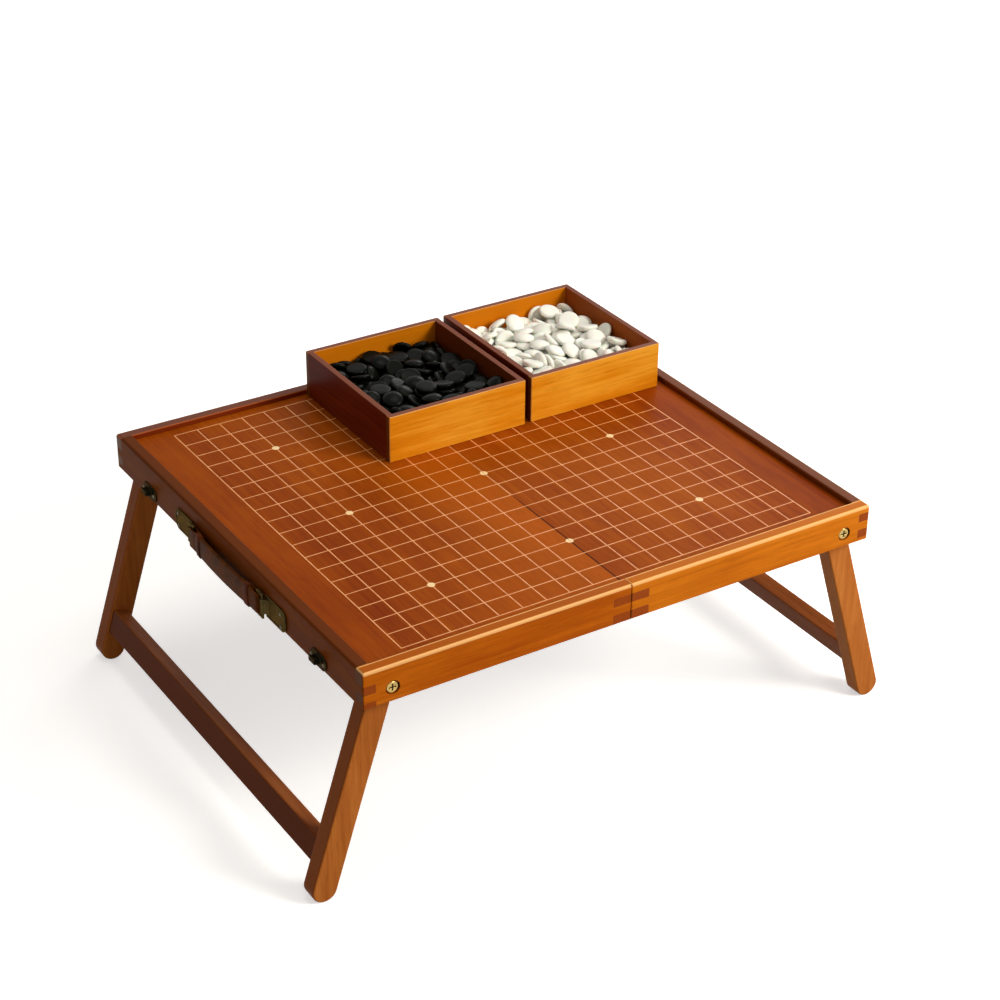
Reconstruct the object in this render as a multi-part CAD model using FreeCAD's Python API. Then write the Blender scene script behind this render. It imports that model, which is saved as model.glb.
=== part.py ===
import os
from math import cos, radians, sin

import FreeCAD
import Part

V = FreeCAD.Vector

# Folding go table: two framed half boards hinged under the seam, two folding
# leg frames, and two open stone drawers that stand on the playing surface.
# Frame: origin on the floor below the middle of the seam, +X to the right
# end, +Y to the back, +Z up. All lengths in millimetres.

# ---- playing field ----
GRID_LINES = 19
PITCH_X = 22.0             # line spacing along the long side
PITCH_Y = 22.2             # line spacing from front to back
END_MARGIN = 35.0          # outer grid line to the end rail
SIDE_MARGIN = 11.2         # outer grid line to the front or back rail

# ---- half board frames ----
RAIL_T = 11.0              # outer rails
SEAM_RAIL_T = 17.0         # rail under the panel at the seam
RIM_H = 5.0                # rails stand this much above the panel
PANEL_T = 4.0
PANEL_TONGUE = 4.0         # panel edge held in the rail grooves
SEAM_GAP = 0.3             # between the two halves when open flat
RIM_ROUND = 2.6            # outer top edge
CORNER_ROUND = 1.2         # upright outer corners
EDGE_BREAK = 0.6           # small chamfer on the other long edges
RIM_BREAK = 0.8            # inner top edge of the rim
FINGER_PITCH = 7.6         # corner finger height
FINGER_MIN = 3.0           # a thinner last finger is left out
FIRST_FINGER_LEFT = 12.6   # top finger, left end corners
FIRST_FINGER_RIGHT = 6.6   # top finger, right end corners

# ---- leg frames ----
SPLAY = 17.4               # leg angle from upright, degrees
LEG_W = 22.0
LEG_T = 16.6
LEG_REACH = 188.0          # pivot to the centre of the round foot
PIVOT_INSET = 25.7         # pivot axis to the outer end of the case
PIVOT_ROOF = 0.9           # leg head to the panel when folded in
PIVOT_FLOOR = 1.1          # folded leg to the lower edge of the rails
LEG_ROUND = 1.6            # long edges of the legs
WASHER_T = 1.5             # between rail and leg
WASHER_R = 7.0
BAR_W = 22.0               # crossbar, along the leg
BAR_T = 14.0
BAR_INSET = 1.6            # crossbar behind the outer edge of the leg
BAR_UP = 29.0              # crossbar centre line above the foot centre
BAR_ROUND = 1.2
TENON_L = 8.0
TENON_W = 15.0
TENON_T = 7.0

# ---- pivot bolts ----
BOLT_R = 3.0
BOLT_HEAD_R = 5.2
BOLT_HEAD_H = 2.4
BOLT_SINK = 3.0            # counterbore depth in the rail
BOLT_SINK_R = 6.1
NUT_R = 5.6
NUT_H = 4.0
BOLT_PLAY = 0.1            # radial play of the bolt in the rail and washer
RUN_FIT = 0.05             # radial play where a piece turns on a pin
SIDE_PLAY = 0.1            # play beside a turning piece

# ---- seam hinges ----
HINGE_Y = 125.0            # hinge centre from the middle of the seam
HINGE_L = 40.0
LEAF_W = 12.0
LEAF_T = 1.5
KNUCKLE_R = 2.5
KNUCKLES = 5
HINGE_PIN_R = 1.25
HINGE_DROP = 0.1           # pin axis below the lower edge of the rails
HINGE_COVE = 0.3           # play round the knuckles

# ---- small screws ----
SCREW_R = 1.2
SCREW_HEAD_R = 2.3
SCREW_HEAD_H = 0.9
SCREW_L = 7.0

# ---- catches on the left end, latches on the right end ----
LATCH_Y = 153.0            # catch and latch centres from the middle
LATCH_W = 26.0
LATCH_H = 13.0
LATCH_PLATE_T = 1.2
LATCH_EDGE = 1.0           # plate to the lower edge of the rail
LATCH_SCREW_INSET = 3.5    # screw to the end of the plate
LATCH_KNUCKLE_L = 3.0      # each of the plate's two knuckles
HOOK_W = 8.0
HOOK_OUT = 6.0             # hook nose from the catch plate
HOOK_H = 5.0
HOOK_UP = 8.5              # hook centre above the lower edge of the rail
TONGUE_W = 13.0
TONGUE_T = 1.2
LATCH_KNUCKLE_R = 1.7
LATCH_PIN_R = 0.8
LATCH_AXIS_UP = 4.5        # latch pin above the lower edge of the rail
WINDOW_PLAY = 0.5          # play round the hook in the tongue's window
TONGUE_TIP = 4.5           # tongue beyond its window
LIP_R = 1.8

# ---- carrying handle on the left end ----
HANDLE_Y = 66.0            # ring pivot from the middle
HANDLE_DROP = 18.0         # handle centre line below the playing surface
HANDLE_PLATE_L = 34.0
HANDLE_PLATE_H = 20.0
HANDLE_PLATE_T = 1.5
HANDLE_PLATE_ROUND = 7.0
EYE_R = 2.1
EYE_OUT = 3.9              # ring pivot axis from the rail face
EYE_H = 13.0
RING_R = 1.0
RING_L = 8.0               # between the ring's two upright bars
RING_H = 23.0
STRAP_W = 20.0
STRAP_T = 3.6
STRAP_BOW = 1.8            # the middle of the strap stands out this much more
LOOP_L = 11.5              # strap end folded round the ring
LOOP_WALL = 1.7
LOOP_PLAY = 0.5            # play round the ring bar
RING_SWING = 30.0          # rings turn out this far, degrees, as the strap is pulled
LOOP_SIDE = 0.4            # strap loop to each ring arm
STRAP_STEP = 4.0           # full strap width begins this far from the loop

# ---- stone drawers ----
DRAWER_W = 139.4
DRAWER_D = 152.6
DRAWER_H = 44.2
DRAWER_WALL = 5.5
DRAWER_GAP = 6.6           # between the two drawers
DRAWER_END_GAP = 7.6       # white drawer to the right end rail
BLACK_BACK_GAP = 0.9       # black drawer to the back rail
WHITE_BACK_GAP = 0.3
DRAWER_FLOOR_T = 3.0
DRAWER_FLOOR_UP = 5.5
DRAWER_FLOOR_TONGUE = 2.5
DRAWER_BREAK = 0.6

# ---- stones ----
STONE_D = 19.6
STONE_T = 6.2
STONE_SIDES = 7
STONE_CROWN = 0.5          # flat on top of the dome, share of the diameter
STONE_BASE = 0.86          # flat underside, share of the diameter
STONE_RIM = 0.3            # height of the widest place, share of the thickness
STONE_GAP = 0.15           # between stones side by side
STONE_PLAY = 0.1           # between layers
BLACK_COUNT = 181
WHITE_COUNT = 180

# ---- sizes that follow ----
HALF_L = (GRID_LINES - 1) / 2 * PITCH_X + END_MARGIN + RAIL_T
HALF_D = (GRID_LINES - 1) / 2 * PITCH_Y + SIDE_MARGIN + RAIL_T
INNER_X = HALF_L - RAIL_T
INNER_Y = HALF_D - RAIL_T
SEAM_X = SEAM_GAP / 2
PIVOT_DROP = PANEL_T + PIVOT_ROOF + LEG_W / 2
RAIL_DROP = PIVOT_DROP + LEG_W / 2 + PIVOT_FLOOR
SA = sin(radians(SPLAY))
CA = cos(radians(SPLAY))
TOP_Z = PIVOT_DROP + LEG_REACH * CA + LEG_W / 2   # playing surface
RIM_Z = TOP_Z + RIM_H
UNDER_Z = TOP_Z - PANEL_T
LOW_Z = TOP_Z - RAIL_DROP
FIRST_FINGER_SEAM = RIM_H + PANEL_T               # top finger, at the seam
PIVOT_X = HALF_L - PIVOT_INSET
PIVOT_Z = TOP_Z - PIVOT_DROP
LEG_Y = INNER_Y - WASHER_T                        # outer face of a leg
HINGE_Z = LOW_Z - HINGE_DROP


def box(x0, x1, y0, y1, z0, z1):
    """A block between two corners, given in any order."""
    xs, ys, zs = sorted((x0, x1)), sorted((y0, y1)), sorted((z0, z1))
    size = [b - a for a, b in (xs, ys, zs)]
    return Part.makeBox(size[0], size[1], size[2], V(xs[0], ys[0], zs[0]))


def rod(radius, length, start, axis):
    return Part.makeCylinder(radius, length, V(*start), V(*axis))


def plate(points, start, height, axis=(0, 0, 1)):
    """A prism on a closed outline."""
    wire = Part.makePolygon([V(*p) for p in points + points[:1]])
    face = Part.Face(wire)
    face.translate(V(*start))
    return face.extrude(V(*axis) * height)


def joined(shapes):
    whole = shapes[0]
    for shape in shapes[1:]:
        whole = whole.fuse(shape)
    return whole.removeSplitter()


def edges_where(shape, test):
    """Edges whose two ends both pass the test."""
    found = []
    for edge in shape.Edges:
        ends = [v.Point for v in edge.Vertexes]
        if all(test(p) for p in ends):
            found.append(edge)
    return found


def near(a, b):
    return abs(a - b) < 1e-4


def flip_x(shape):
    return shape.mirror(V(0, 0, 0), V(1, 0, 0))


def flip_y(shape):
    return shape.mirror(V(0, 0, 0), V(0, 1, 0))


def both_ends(shape):
    """A piece and its mirror image, front and back."""
    return Part.makeCompound([shape, flip_y(shape)])


def save(name, shape):
    shape.exportStep(os.path.join("parts", name + ".step"))


# ---- rails, drawn for a right half and mirrored for the left ----

def finger_layers(first):
    """Height bands from the top; odd ones belong to the crossing rail."""
    levels = [RIM_Z, RIM_Z - first]
    while levels[-1] - FINGER_PITCH > LOW_Z + FINGER_MIN:
        levels.append(levels[-1] - FINGER_PITCH)
    levels.append(LOW_Z)
    return list(zip(levels[1:], levels))


def crossing_blocks(x0, x1, first):
    """The corner blocks that the crossing rail fills, front and back."""
    blocks = []
    for low, high in finger_layers(first)[1::2]:
        blocks.append(box(x0, x1, -HALF_D - 1, -INNER_Y, low, high))
        blocks.append(box(x0, x1, INNER_Y, HALF_D + 1, low, high))
    return blocks


def frame_blank():
    """The outer frame of one half before it is cut into rails."""
    blank = box(SEAM_X, HALF_L, -HALF_D, HALF_D, LOW_Z, RIM_Z)
    corners = edges_where(blank, lambda p: near(p.x, HALF_L))
    upright = [e for e in corners if near(abs(e.Vertexes[0].Y), HALF_D)
               and near(e.Vertexes[0].Y, e.Vertexes[1].Y)]
    blank = blank.makeFillet(CORNER_ROUND, upright)
    top = [e for e in blank.Edges
           if all(near(v.Z, RIM_Z) for v in e.Vertexes)
           and not all(near(v.X, SEAM_X) for v in e.Vertexes)]
    blank = blank.makeFillet(RIM_ROUND, top)
    bottom = [e for e in blank.Edges
              if all(near(v.Z, LOW_Z) for v in e.Vertexes)
              and not all(near(v.X, SEAM_X) for v in e.Vertexes)]
    blank = blank.makeChamfer(EDGE_BREAK, bottom)
    seam_top = [e for e in blank.Edges
                if all(near(v.Z, RIM_Z) and near(v.X, SEAM_X) for v in e.Vertexes)]
    blank = blank.makeChamfer(EDGE_BREAK, seam_top)
    inside = box(SEAM_X - 1, INNER_X, -INNER_Y, INNER_Y, LOW_Z - 1, RIM_Z + 1)
    blank = blank.cut(inside)
    inner = [e for e in blank.Edges
             if all(near(v.Z, RIM_Z) and v.X < INNER_X + 0.1
                    and abs(v.Y) < INNER_Y + 0.1 for v in e.Vertexes)]
    return blank.makeChamfer(RIM_BREAK, inner)


def stop_bevel():
    """What the splayed legs plane off the lower inside edge of an end rail."""
    grow = LEG_W / 2 + SIDE_PLAY
    along = 2 * RAIL_DROP
    foot = (PIVOT_X + along * SA, PIVOT_Z - along * CA)
    side = (grow * CA, grow * SA)
    outline = [(PIVOT_X, 0, PIVOT_Z),
               (PIVOT_X + side[0], 0, PIVOT_Z + side[1]),
               (foot[0] + side[0], 0, foot[1] + side[1]),
               (foot[0], 0, foot[1])]
    return plate(outline, (0, -INNER_Y, 0), 2 * INNER_Y, (0, 1, 0))


def panel_solid():
    return box(SEAM_X, INNER_X + PANEL_TONGUE, -INNER_Y - PANEL_TONGUE,
               INNER_Y + PANEL_TONGUE, UNDER_Z, TOP_Z)


def hinge_cove():
    """Room for the hinge knuckles in the seam rail's lower edge."""
    length = HINGE_L + 2 * SIDE_PLAY
    start = (0, HINGE_Y - length / 2, HINGE_Z)
    cove = rod(KNUCKLE_R + HINGE_COVE, length, start, (0, 1, 0))
    return both_ends(cove)


def leaf_solid(start):
    """A hinge leaf from X = start, let into the rail's lower face."""
    return box(start, KNUCKLE_R + HINGE_COVE + LEAF_W,
               HINGE_Y - HINGE_L / 2, HINGE_Y + HINGE_L / 2,
               LOW_Z, LOW_Z + LEAF_T)


def build_half(first_end):
    """Panel, rails and the cuts in them, as a right half."""
    panel = panel_solid()
    blank = frame_blank().cut(panel)
    end_blocks = crossing_blocks(INNER_X, HALF_L + 1, first_end)
    seam_blocks = crossing_blocks(SEAM_X, SEAM_X + SEAM_RAIL_T,
                                  FIRST_FINGER_SEAM)
    front = blank.common(box(0, HALF_L + 1, -HALF_D - 1, -INNER_Y,
                             LOW_Z - 1, RIM_Z + 1))
    back = blank.common(box(0, HALF_L + 1, INNER_Y, HALF_D + 1,
                            LOW_Z - 1, RIM_Z + 1))
    for block in end_blocks + seam_blocks:
        front = front.cut(block)
        back = back.cut(block)
    middle = box(INNER_X, HALF_L + 1, -INNER_Y, INNER_Y, LOW_Z - 1, RIM_Z + 1)
    end = joined([blank.common(middle)] + [blank.common(b) for b in end_blocks])
    end = end.cut(stop_bevel())
    seam = box(SEAM_X, SEAM_X + SEAM_RAIL_T, -INNER_Y, INNER_Y, LOW_Z, UNDER_Z)
    seam = joined([seam] + [blank.common(b) for b in seam_blocks])
    seam = seam.cut(hinge_cove()).cut(both_ends(leaf_solid(0)))
    return {"panel": panel, "front_rail": front, "back_rail": back,
            "end_rail": end, "seam_rail": seam}


# ---- fasteners ----

def cross_slot(width, length, depth):
    """Two crossed slots, centred on the origin and sunk along -Z."""
    one = box(-length / 2, length / 2, -width / 2, width / 2, -depth, 1)
    two = box(-width / 2, width / 2, -length / 2, length / 2, -depth, 1)
    return one.fuse(two)


def small_screw():
    """Pan head on the origin, head along +Z, shank along -Z."""
    head = Part.makeCone(SCREW_HEAD_R, SCREW_HEAD_R * 0.6, SCREW_HEAD_H)
    shank = rod(SCREW_R, SCREW_L, (0, 0, 0), (0, 0, -1))
    return joined([head, shank])


def flush_screw(head_t):
    """Countersunk screw, its flat head face on the origin."""
    head = Part.makeCone(SCREW_R, SCREW_HEAD_R, head_t, V(0, 0, -head_t))
    shank = rod(SCREW_R, SCREW_L, (0, 0, -head_t), (0, 0, -1))
    return joined([head, shank])


def placed(shape, place, towards):
    """Move a +Z piece to a place and turn it towards a direction."""
    turn = FreeCAD.Rotation(V(0, 0, 1), V(*towards))
    moved = shape.copy()
    moved.Placement = FreeCAD.Placement(V(*place), turn)
    return moved


def pivot_bolt():
    """Front pivot bolt of a right leg frame."""
    seat = -HALF_D + BOLT_SINK
    shank_end = -LEG_Y + LEG_T + SIDE_PLAY + NUT_H * 0.6
    head = rod(BOLT_HEAD_R, BOLT_HEAD_H, (PIVOT_X, seat, PIVOT_Z), (0, -1, 0))
    rim = edges_where(head, lambda p: near(p.y, seat - BOLT_HEAD_H))
    head = head.makeFillet(BOLT_HEAD_H * 0.45, rim)
    shank = rod(BOLT_R, shank_end - seat, (PIVOT_X, seat, PIVOT_Z), (0, 1, 0))
    slot = cross_slot(1.3, BOLT_HEAD_R * 1.2, BOLT_HEAD_H * 0.6)
    slot = placed(slot, (PIVOT_X, seat - BOLT_HEAD_H, PIVOT_Z), (0, -1, 0))
    return joined([head, shank]).cut(slot)


def pivot_nut():
    """Cap nut on the inner face of a leg."""
    y0 = -LEG_Y + LEG_T + SIDE_PLAY
    nut = rod(NUT_R, NUT_H, (PIVOT_X, y0, PIVOT_Z), (0, 1, 0))
    rim = edges_where(nut, lambda p: near(p.y, y0 + NUT_H))
    nut = nut.makeChamfer(NUT_H * 0.3, rim)
    thread = rod(BOLT_R, NUT_H * 0.6, (PIVOT_X, y0, PIVOT_Z), (0, 1, 0))
    return nut.cut(thread)


def pivot_washer():
    thick = WASHER_T - SIDE_PLAY
    start = (PIVOT_X, -INNER_Y, PIVOT_Z)
    washer = rod(WASHER_R, thick, start, (0, 1, 0))
    return washer.cut(rod(BOLT_R + BOLT_PLAY, thick, start, (0, 1, 0)))


def pivot_holes():
    """Bolt hole and counterbore through the front rail."""
    start = (PIVOT_X, -HALF_D - 1, PIVOT_Z)
    hole = rod(BOLT_R + BOLT_PLAY, RAIL_T + 2, start, (0, 1, 0))
    return hole.fuse(rod(BOLT_SINK_R, BOLT_SINK + 1, start, (0, 1, 0)))


# ---- leg frames ----

def leg_turn(shape):
    """From a leg drawn straight down at the pivot to its splayed place."""
    turned = shape.copy()
    turned.rotate(V(PIVOT_X, 0, PIVOT_Z), V(0, 1, 0), -SPLAY)
    return turned


def bar_section():
    """X and Z limits of the crossbar on an upright leg."""
    outer = PIVOT_X + LEG_W / 2 - BAR_INSET
    middle = PIVOT_Z - LEG_REACH + BAR_UP
    return outer - BAR_T, outer, middle - BAR_W / 2, middle + BAR_W / 2


def tenon_solid():
    """Front tenon of the crossbar on an upright leg frame."""
    x0, x1, z0, z1 = bar_section()
    xm, zm = (x0 + x1) / 2, (z0 + z1) / 2
    face = -LEG_Y + LEG_T
    return box(xm - TENON_T / 2, xm + TENON_T / 2, face - TENON_L, face,
               zm - TENON_W / 2, zm + TENON_W / 2)


def front_leg():
    y0, y1 = -LEG_Y, -LEG_Y + LEG_T
    r = LEG_W / 2
    top, foot = PIVOT_Z, PIVOT_Z - LEG_REACH
    left, right = PIVOT_X - r, PIVOT_X + r
    outline = Part.Wire([
        Part.makeLine(V(right, y0, top), V(right, y0, foot)),
        Part.Arc(V(right, y0, foot), V(PIVOT_X, y0, foot - r),
                 V(left, y0, foot)).toShape(),
        Part.makeLine(V(left, y0, foot), V(left, y0, top)),
        Part.Arc(V(left, y0, top), V(PIVOT_X, y0, top + r),
                 V(right, y0, top)).toShape()])
    leg = Part.Face(outline).extrude(V(0, y1 - y0, 0))
    rims = [e for e in leg.Edges if len({round(v.Y, 4) for v in e.Vertexes}) == 1]
    leg = leg.makeFillet(LEG_ROUND, rims)
    bore = rod(BOLT_R + RUN_FIT, LEG_T + 2, (PIVOT_X, y0 - 1, PIVOT_Z), (0, 1, 0))
    return leg.cut(bore).cut(tenon_solid())


def crossbar():
    x0, x1, z0, z1 = bar_section()
    inner = LEG_Y - LEG_T
    bar = box(x0, x1, -inner, inner, z0, z1)
    long_edges = [e for e in bar.Edges
                  if not near(e.Vertexes[0].Y, e.Vertexes[1].Y)]
    bar = bar.makeFillet(BAR_ROUND, long_edges)
    return joined([bar, tenon_solid(), flip_y(tenon_solid())])


# ---- seam hinges ----

def knuckle_span(index):
    """Start and end of one knuckle along the hinge."""
    each = HINGE_L / KNUCKLES
    y0 = HINGE_Y - HINGE_L / 2 + index * each
    return y0 + SIDE_PLAY / 2, y0 + each - SIDE_PLAY / 2


def hinge_leaf(first):
    """One right-hand leaf with every second knuckle from the first."""
    inner = KNUCKLE_R + HINGE_COVE
    pieces = [leaf_solid(inner)]
    for index in range(first, KNUCKLES, 2):
        y0, y1 = knuckle_span(index)
        pieces.append(rod(KNUCKLE_R, y1 - y0, (0, y0, HINGE_Z), (0, 1, 0)))
        pieces.append(box(0, inner, y0, y1, LOW_Z, LOW_Z + LEAF_T))
    leaf = joined(pieces)
    bore = rod(HINGE_PIN_R + RUN_FIT, HINGE_L + 2,
               (0, HINGE_Y - HINGE_L / 2 - 1, HINGE_Z), (0, 1, 0))
    leaf = leaf.cut(bore)
    for screw in hinge_screws():
        leaf = leaf.cut(screw)
    return leaf


def hinge_screws():
    """Three countersunk screws up through one right-hand leaf."""
    screws = []
    x = KNUCKLE_R + HINGE_COVE + LEAF_W / 2
    for step in (-1, 0, 1):
        y = HINGE_Y + step * HINGE_L * 0.34
        screws.append(placed(flush_screw(LEAF_T), (x, y, LOW_Z), (0, 0, -1)))
    return screws


def hinge_pin():
    start = (0, HINGE_Y - HINGE_L / 2, HINGE_Z)
    return rod(HINGE_PIN_R, HINGE_L, start, (0, 1, 0))


# ---- catches and latches, drawn on the right end at the back ----

def end_plate(width, height, low, thick):
    """A plate with round upright ends, flat on the right end rail."""
    r = height / 2
    y0, y1 = LATCH_Y - width / 2, LATCH_Y + width / 2
    body = box(HALF_L, HALF_L + thick, y0 + r, y1 - r, low, low + height)
    ends = [rod(r, thick, (HALF_L, y, low + r), (1, 0, 0))
            for y in (y0 + r, y1 - r)]
    return joined([body] + ends)


def latch_screws():
    """Two small screws through a catch or latch plate."""
    z = LOW_Z + LATCH_EDGE + LATCH_H / 2
    x = HALF_L + LATCH_PLATE_T
    out = LATCH_W / 2 - LATCH_SCREW_INSET
    return [placed(small_screw(), (x, LATCH_Y + s * out, z), (1, 0, 0))
            for s in (-1, 1)]


def catch_plate():
    """Plate with a hook whose nose points away from the seam between cases."""
    low = LOW_Z + LATCH_EDGE
    body = end_plate(LATCH_W, LATCH_H, low, LATCH_PLATE_T)
    x0 = HALF_L + LATCH_PLATE_T
    z0, z1 = LOW_Z + HOOK_UP - HOOK_H / 2, LOW_Z + HOOK_UP + HOOK_H / 2
    outline = [(x0, 0, z0), (x0 + HOOK_OUT - 1.2, 0, z0),
               (x0 + HOOK_OUT, 0, z0 + 1.2), (x0 + HOOK_OUT, 0, z1 + 0.6),
               (x0 + HOOK_OUT - 2.0, 0, z1 + 0.6), (x0 + HOOK_OUT - 2.4, 0, z1),
               (x0, 0, z1)]
    hook = plate(outline, (0, LATCH_Y - HOOK_W / 2, 0), HOOK_W, (0, 1, 0))
    body = joined([body, hook])
    for screw in latch_screws():
        body = body.cut(screw)
    return body


def latch_axis():
    return HALF_L + LATCH_PLATE_T + LATCH_KNUCKLE_R, LOW_Z + LATCH_AXIS_UP


def latch_plate():
    """Plate with two knuckles that hold the latch pin."""
    low = LOW_Z + LATCH_EDGE
    body = end_plate(LATCH_W, LATCH_H, low, LATCH_PLATE_T)
    x, z = latch_axis()
    half = TONGUE_W / 2
    pieces = [body]
    for y0 in (LATCH_Y - half - LATCH_KNUCKLE_L, LATCH_Y + half):
        pieces.append(rod(LATCH_KNUCKLE_R, LATCH_KNUCKLE_L, (x, y0, z), (0, 1, 0)))
        pieces.append(box(HALF_L, x, y0, y0 + LATCH_KNUCKLE_L,
                          z - LATCH_KNUCKLE_R, z + LATCH_KNUCKLE_R))
    body = joined(pieces)
    bore = rod(LATCH_PIN_R, LATCH_W, (x, LATCH_Y - LATCH_W / 2, z), (0, 1, 0))
    body = body.cut(bore)
    for screw in latch_screws():
        body = body.cut(screw)
    return body


def latch_pin():
    x, z = latch_axis()
    length = TONGUE_W + 2 * LATCH_KNUCKLE_L
    return rod(LATCH_PIN_R, length, (x, LATCH_Y - length / 2, z), (0, 1, 0))


def latch_tongue():
    """Hanging tongue with a window for the hook and a curled lip."""
    x, z = latch_axis()
    half = TONGUE_W / 2 - SIDE_PLAY
    hook_z = LOW_Z - 2 * HINGE_DROP - HOOK_UP
    window = HOOK_H / 2 + WINDOW_PLAY
    tip = hook_z - window - TONGUE_TIP
    knuckle = rod(LATCH_KNUCKLE_R, 2 * half, (x, LATCH_Y - half, z), (0, 1, 0))
    strap = box(x, x + LATCH_KNUCKLE_R, LATCH_Y - half, LATCH_Y + half, tip, z)
    strap = strap.cut(box(x - 1, x + LATCH_KNUCKLE_R - TONGUE_T,
                          LATCH_Y - half, LATCH_Y + half, tip - 1,
                          z - LATCH_KNUCKLE_R - SIDE_PLAY))
    lip = rod(LIP_R, 2 * half, (x + LATCH_KNUCKLE_R + LIP_R * 0.4,
                                LATCH_Y - half, tip), (0, 1, 0))
    tongue = joined([knuckle, strap, lip])
    side = HOOK_W / 2 + WINDOW_PLAY
    hole = box(x - 1, x + 3, LATCH_Y - side, LATCH_Y + side,
               hook_z - window - 0.6, hook_z + window)
    bore = rod(LATCH_PIN_R + RUN_FIT, TONGUE_W + 2,
               (x, LATCH_Y - half - 1, z), (0, 1, 0))
    return tongue.cut(hole).cut(bore)


# ---- carrying handle, drawn on the left end at the back ----

HANDLE_Z = TOP_Z - HANDLE_DROP
EYE_X = -HALF_L - EYE_OUT


def handle_plate():
    z0, z1 = HANDLE_Z - HANDLE_PLATE_H / 2, HANDLE_Z + HANDLE_PLATE_H / 2
    flat = box(-HALF_L - HANDLE_PLATE_T, -HALF_L, HANDLE_Y + 1.0,
               HANDLE_Y + HANDLE_PLATE_L, z0, z1)
    far = [e for e in flat.Edges
           if all(near(v.Y, HANDLE_Y + HANDLE_PLATE_L) for v in e.Vertexes)
           and not near(e.Vertexes[0].X, e.Vertexes[1].X)]
    flat = flat.makeFillet(HANDLE_PLATE_ROUND, far)
    e0 = HANDLE_Z - EYE_H / 2
    eye = rod(EYE_R, EYE_H, (EYE_X, HANDLE_Y, e0), (0, 0, 1))
    root = plate([(EYE_X, HANDLE_Y + EYE_R, 0), (EYE_X, HANDLE_Y, 0),
                  (-HALF_L, HANDLE_Y, 0), (-HALF_L, HANDLE_Y + 3 * EYE_R, 0),
                  (-HALF_L - HANDLE_PLATE_T, HANDLE_Y + 3 * EYE_R, 0)],
                 (0, 0, e0), EYE_H)
    body = joined([flat, root, eye])
    bore = rod(RING_R + RUN_FIT, RING_H, (EYE_X, HANDLE_Y, HANDLE_Z - RING_H / 2),
               (0, 0, 1))
    body = body.cut(bore)
    for screw in handle_screws():
        body = body.cut(screw)
    return body


def handle_screws():
    x = -HALF_L - HANDLE_PLATE_T
    y = HANDLE_Y + HANDLE_PLATE_L - HANDLE_PLATE_ROUND
    up = HANDLE_PLATE_H / 2 - SCREW_HEAD_R - 1.8
    return [placed(small_screw(), (x, y, HANDLE_Z + s * up), (-1, 0, 0))
            for s in (-1, 1)]


def handle_ring():
    """Stamped ring: a bar in the eye, a bar in the strap loop, two arms."""
    z0 = HANDLE_Z - RING_H / 2
    y1 = HANDLE_Y - RING_L
    pieces = [rod(RING_R, RING_H, (EYE_X, HANDLE_Y, z0), (0, 0, 1)),
              rod(RING_R, RING_H, (EYE_X, y1, z0), (0, 0, 1))]
    for z in (z0, z0 + RING_H - 2 * RING_R):
        pieces.append(box(EYE_X - RING_R, EYE_X + RING_R, y1, HANDLE_Y,
                          z, z + 2 * RING_R))
    return joined(pieces)


def handle_strap():
    """Leather strap with an open loop at each end, bowed outwards."""
    loop_h = RING_H - 4 * RING_R - 2 * LOOP_SIDE
    z0 = HANDLE_Z - loop_h / 2
    half = RING_R + LOOP_PLAY
    travel = RING_L * (1 - cos(radians(RING_SWING)))
    slot_end = HANDLE_Y - RING_L + half + travel
    y_end = slot_end + LOOP_WALL
    y_in = y_end - LOOP_L
    x_out = EYE_X - half - LOOP_WALL
    x_in = EYE_X + half + LOOP_WALL
    back = x_out + STRAP_T
    outline = Part.Wire([
        Part.Arc(V(x_out, -y_in, z0), V(x_out - STRAP_BOW, 0, z0),
                 V(x_out, y_in, z0)).toShape(),
        Part.makeLine(V(x_out, y_in, z0), V(back, y_in, z0)),
        Part.Arc(V(back, y_in, z0), V(back - STRAP_BOW, 0, z0),
                 V(back, -y_in, z0)).toShape(),
        Part.makeLine(V(back, -y_in, z0), V(x_out, -y_in, z0))])
    middle = Part.Face(outline).extrude(V(0, 0, loop_h))
    wide = Part.Face(outline).extrude(V(0, 0, STRAP_W))
    wide.translate(V(0, 0, (loop_h - STRAP_W) / 2))
    y_wide = y_in - STRAP_STEP
    wide = wide.common(box(x_out - STRAP_BOW - 1, x_in, -y_wide, y_wide,
                           HANDLE_Z - STRAP_W, HANDLE_Z + STRAP_W))
    loop = box(x_out, x_in, y_in, y_end, z0, z0 + loop_h)
    ends = [e for e in loop.Edges
            if not near(e.Vertexes[0].Z, e.Vertexes[1].Z)
            and near(e.Vertexes[0].Y, y_end)]
    loop = loop.makeFillet(LOOP_WALL, ends)
    slot = box(EYE_X - half, EYE_X + half, y_in + LOOP_WALL, slot_end,
               z0 - 1, z0 + loop_h + 1)
    loop = loop.cut(slot)
    return joined([middle, wide, loop, flip_y(loop)])


# ---- stone drawers ----

WHITE_X = INNER_X - DRAWER_END_GAP - DRAWER_W
BLACK_X = WHITE_X - DRAWER_GAP - DRAWER_W


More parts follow.
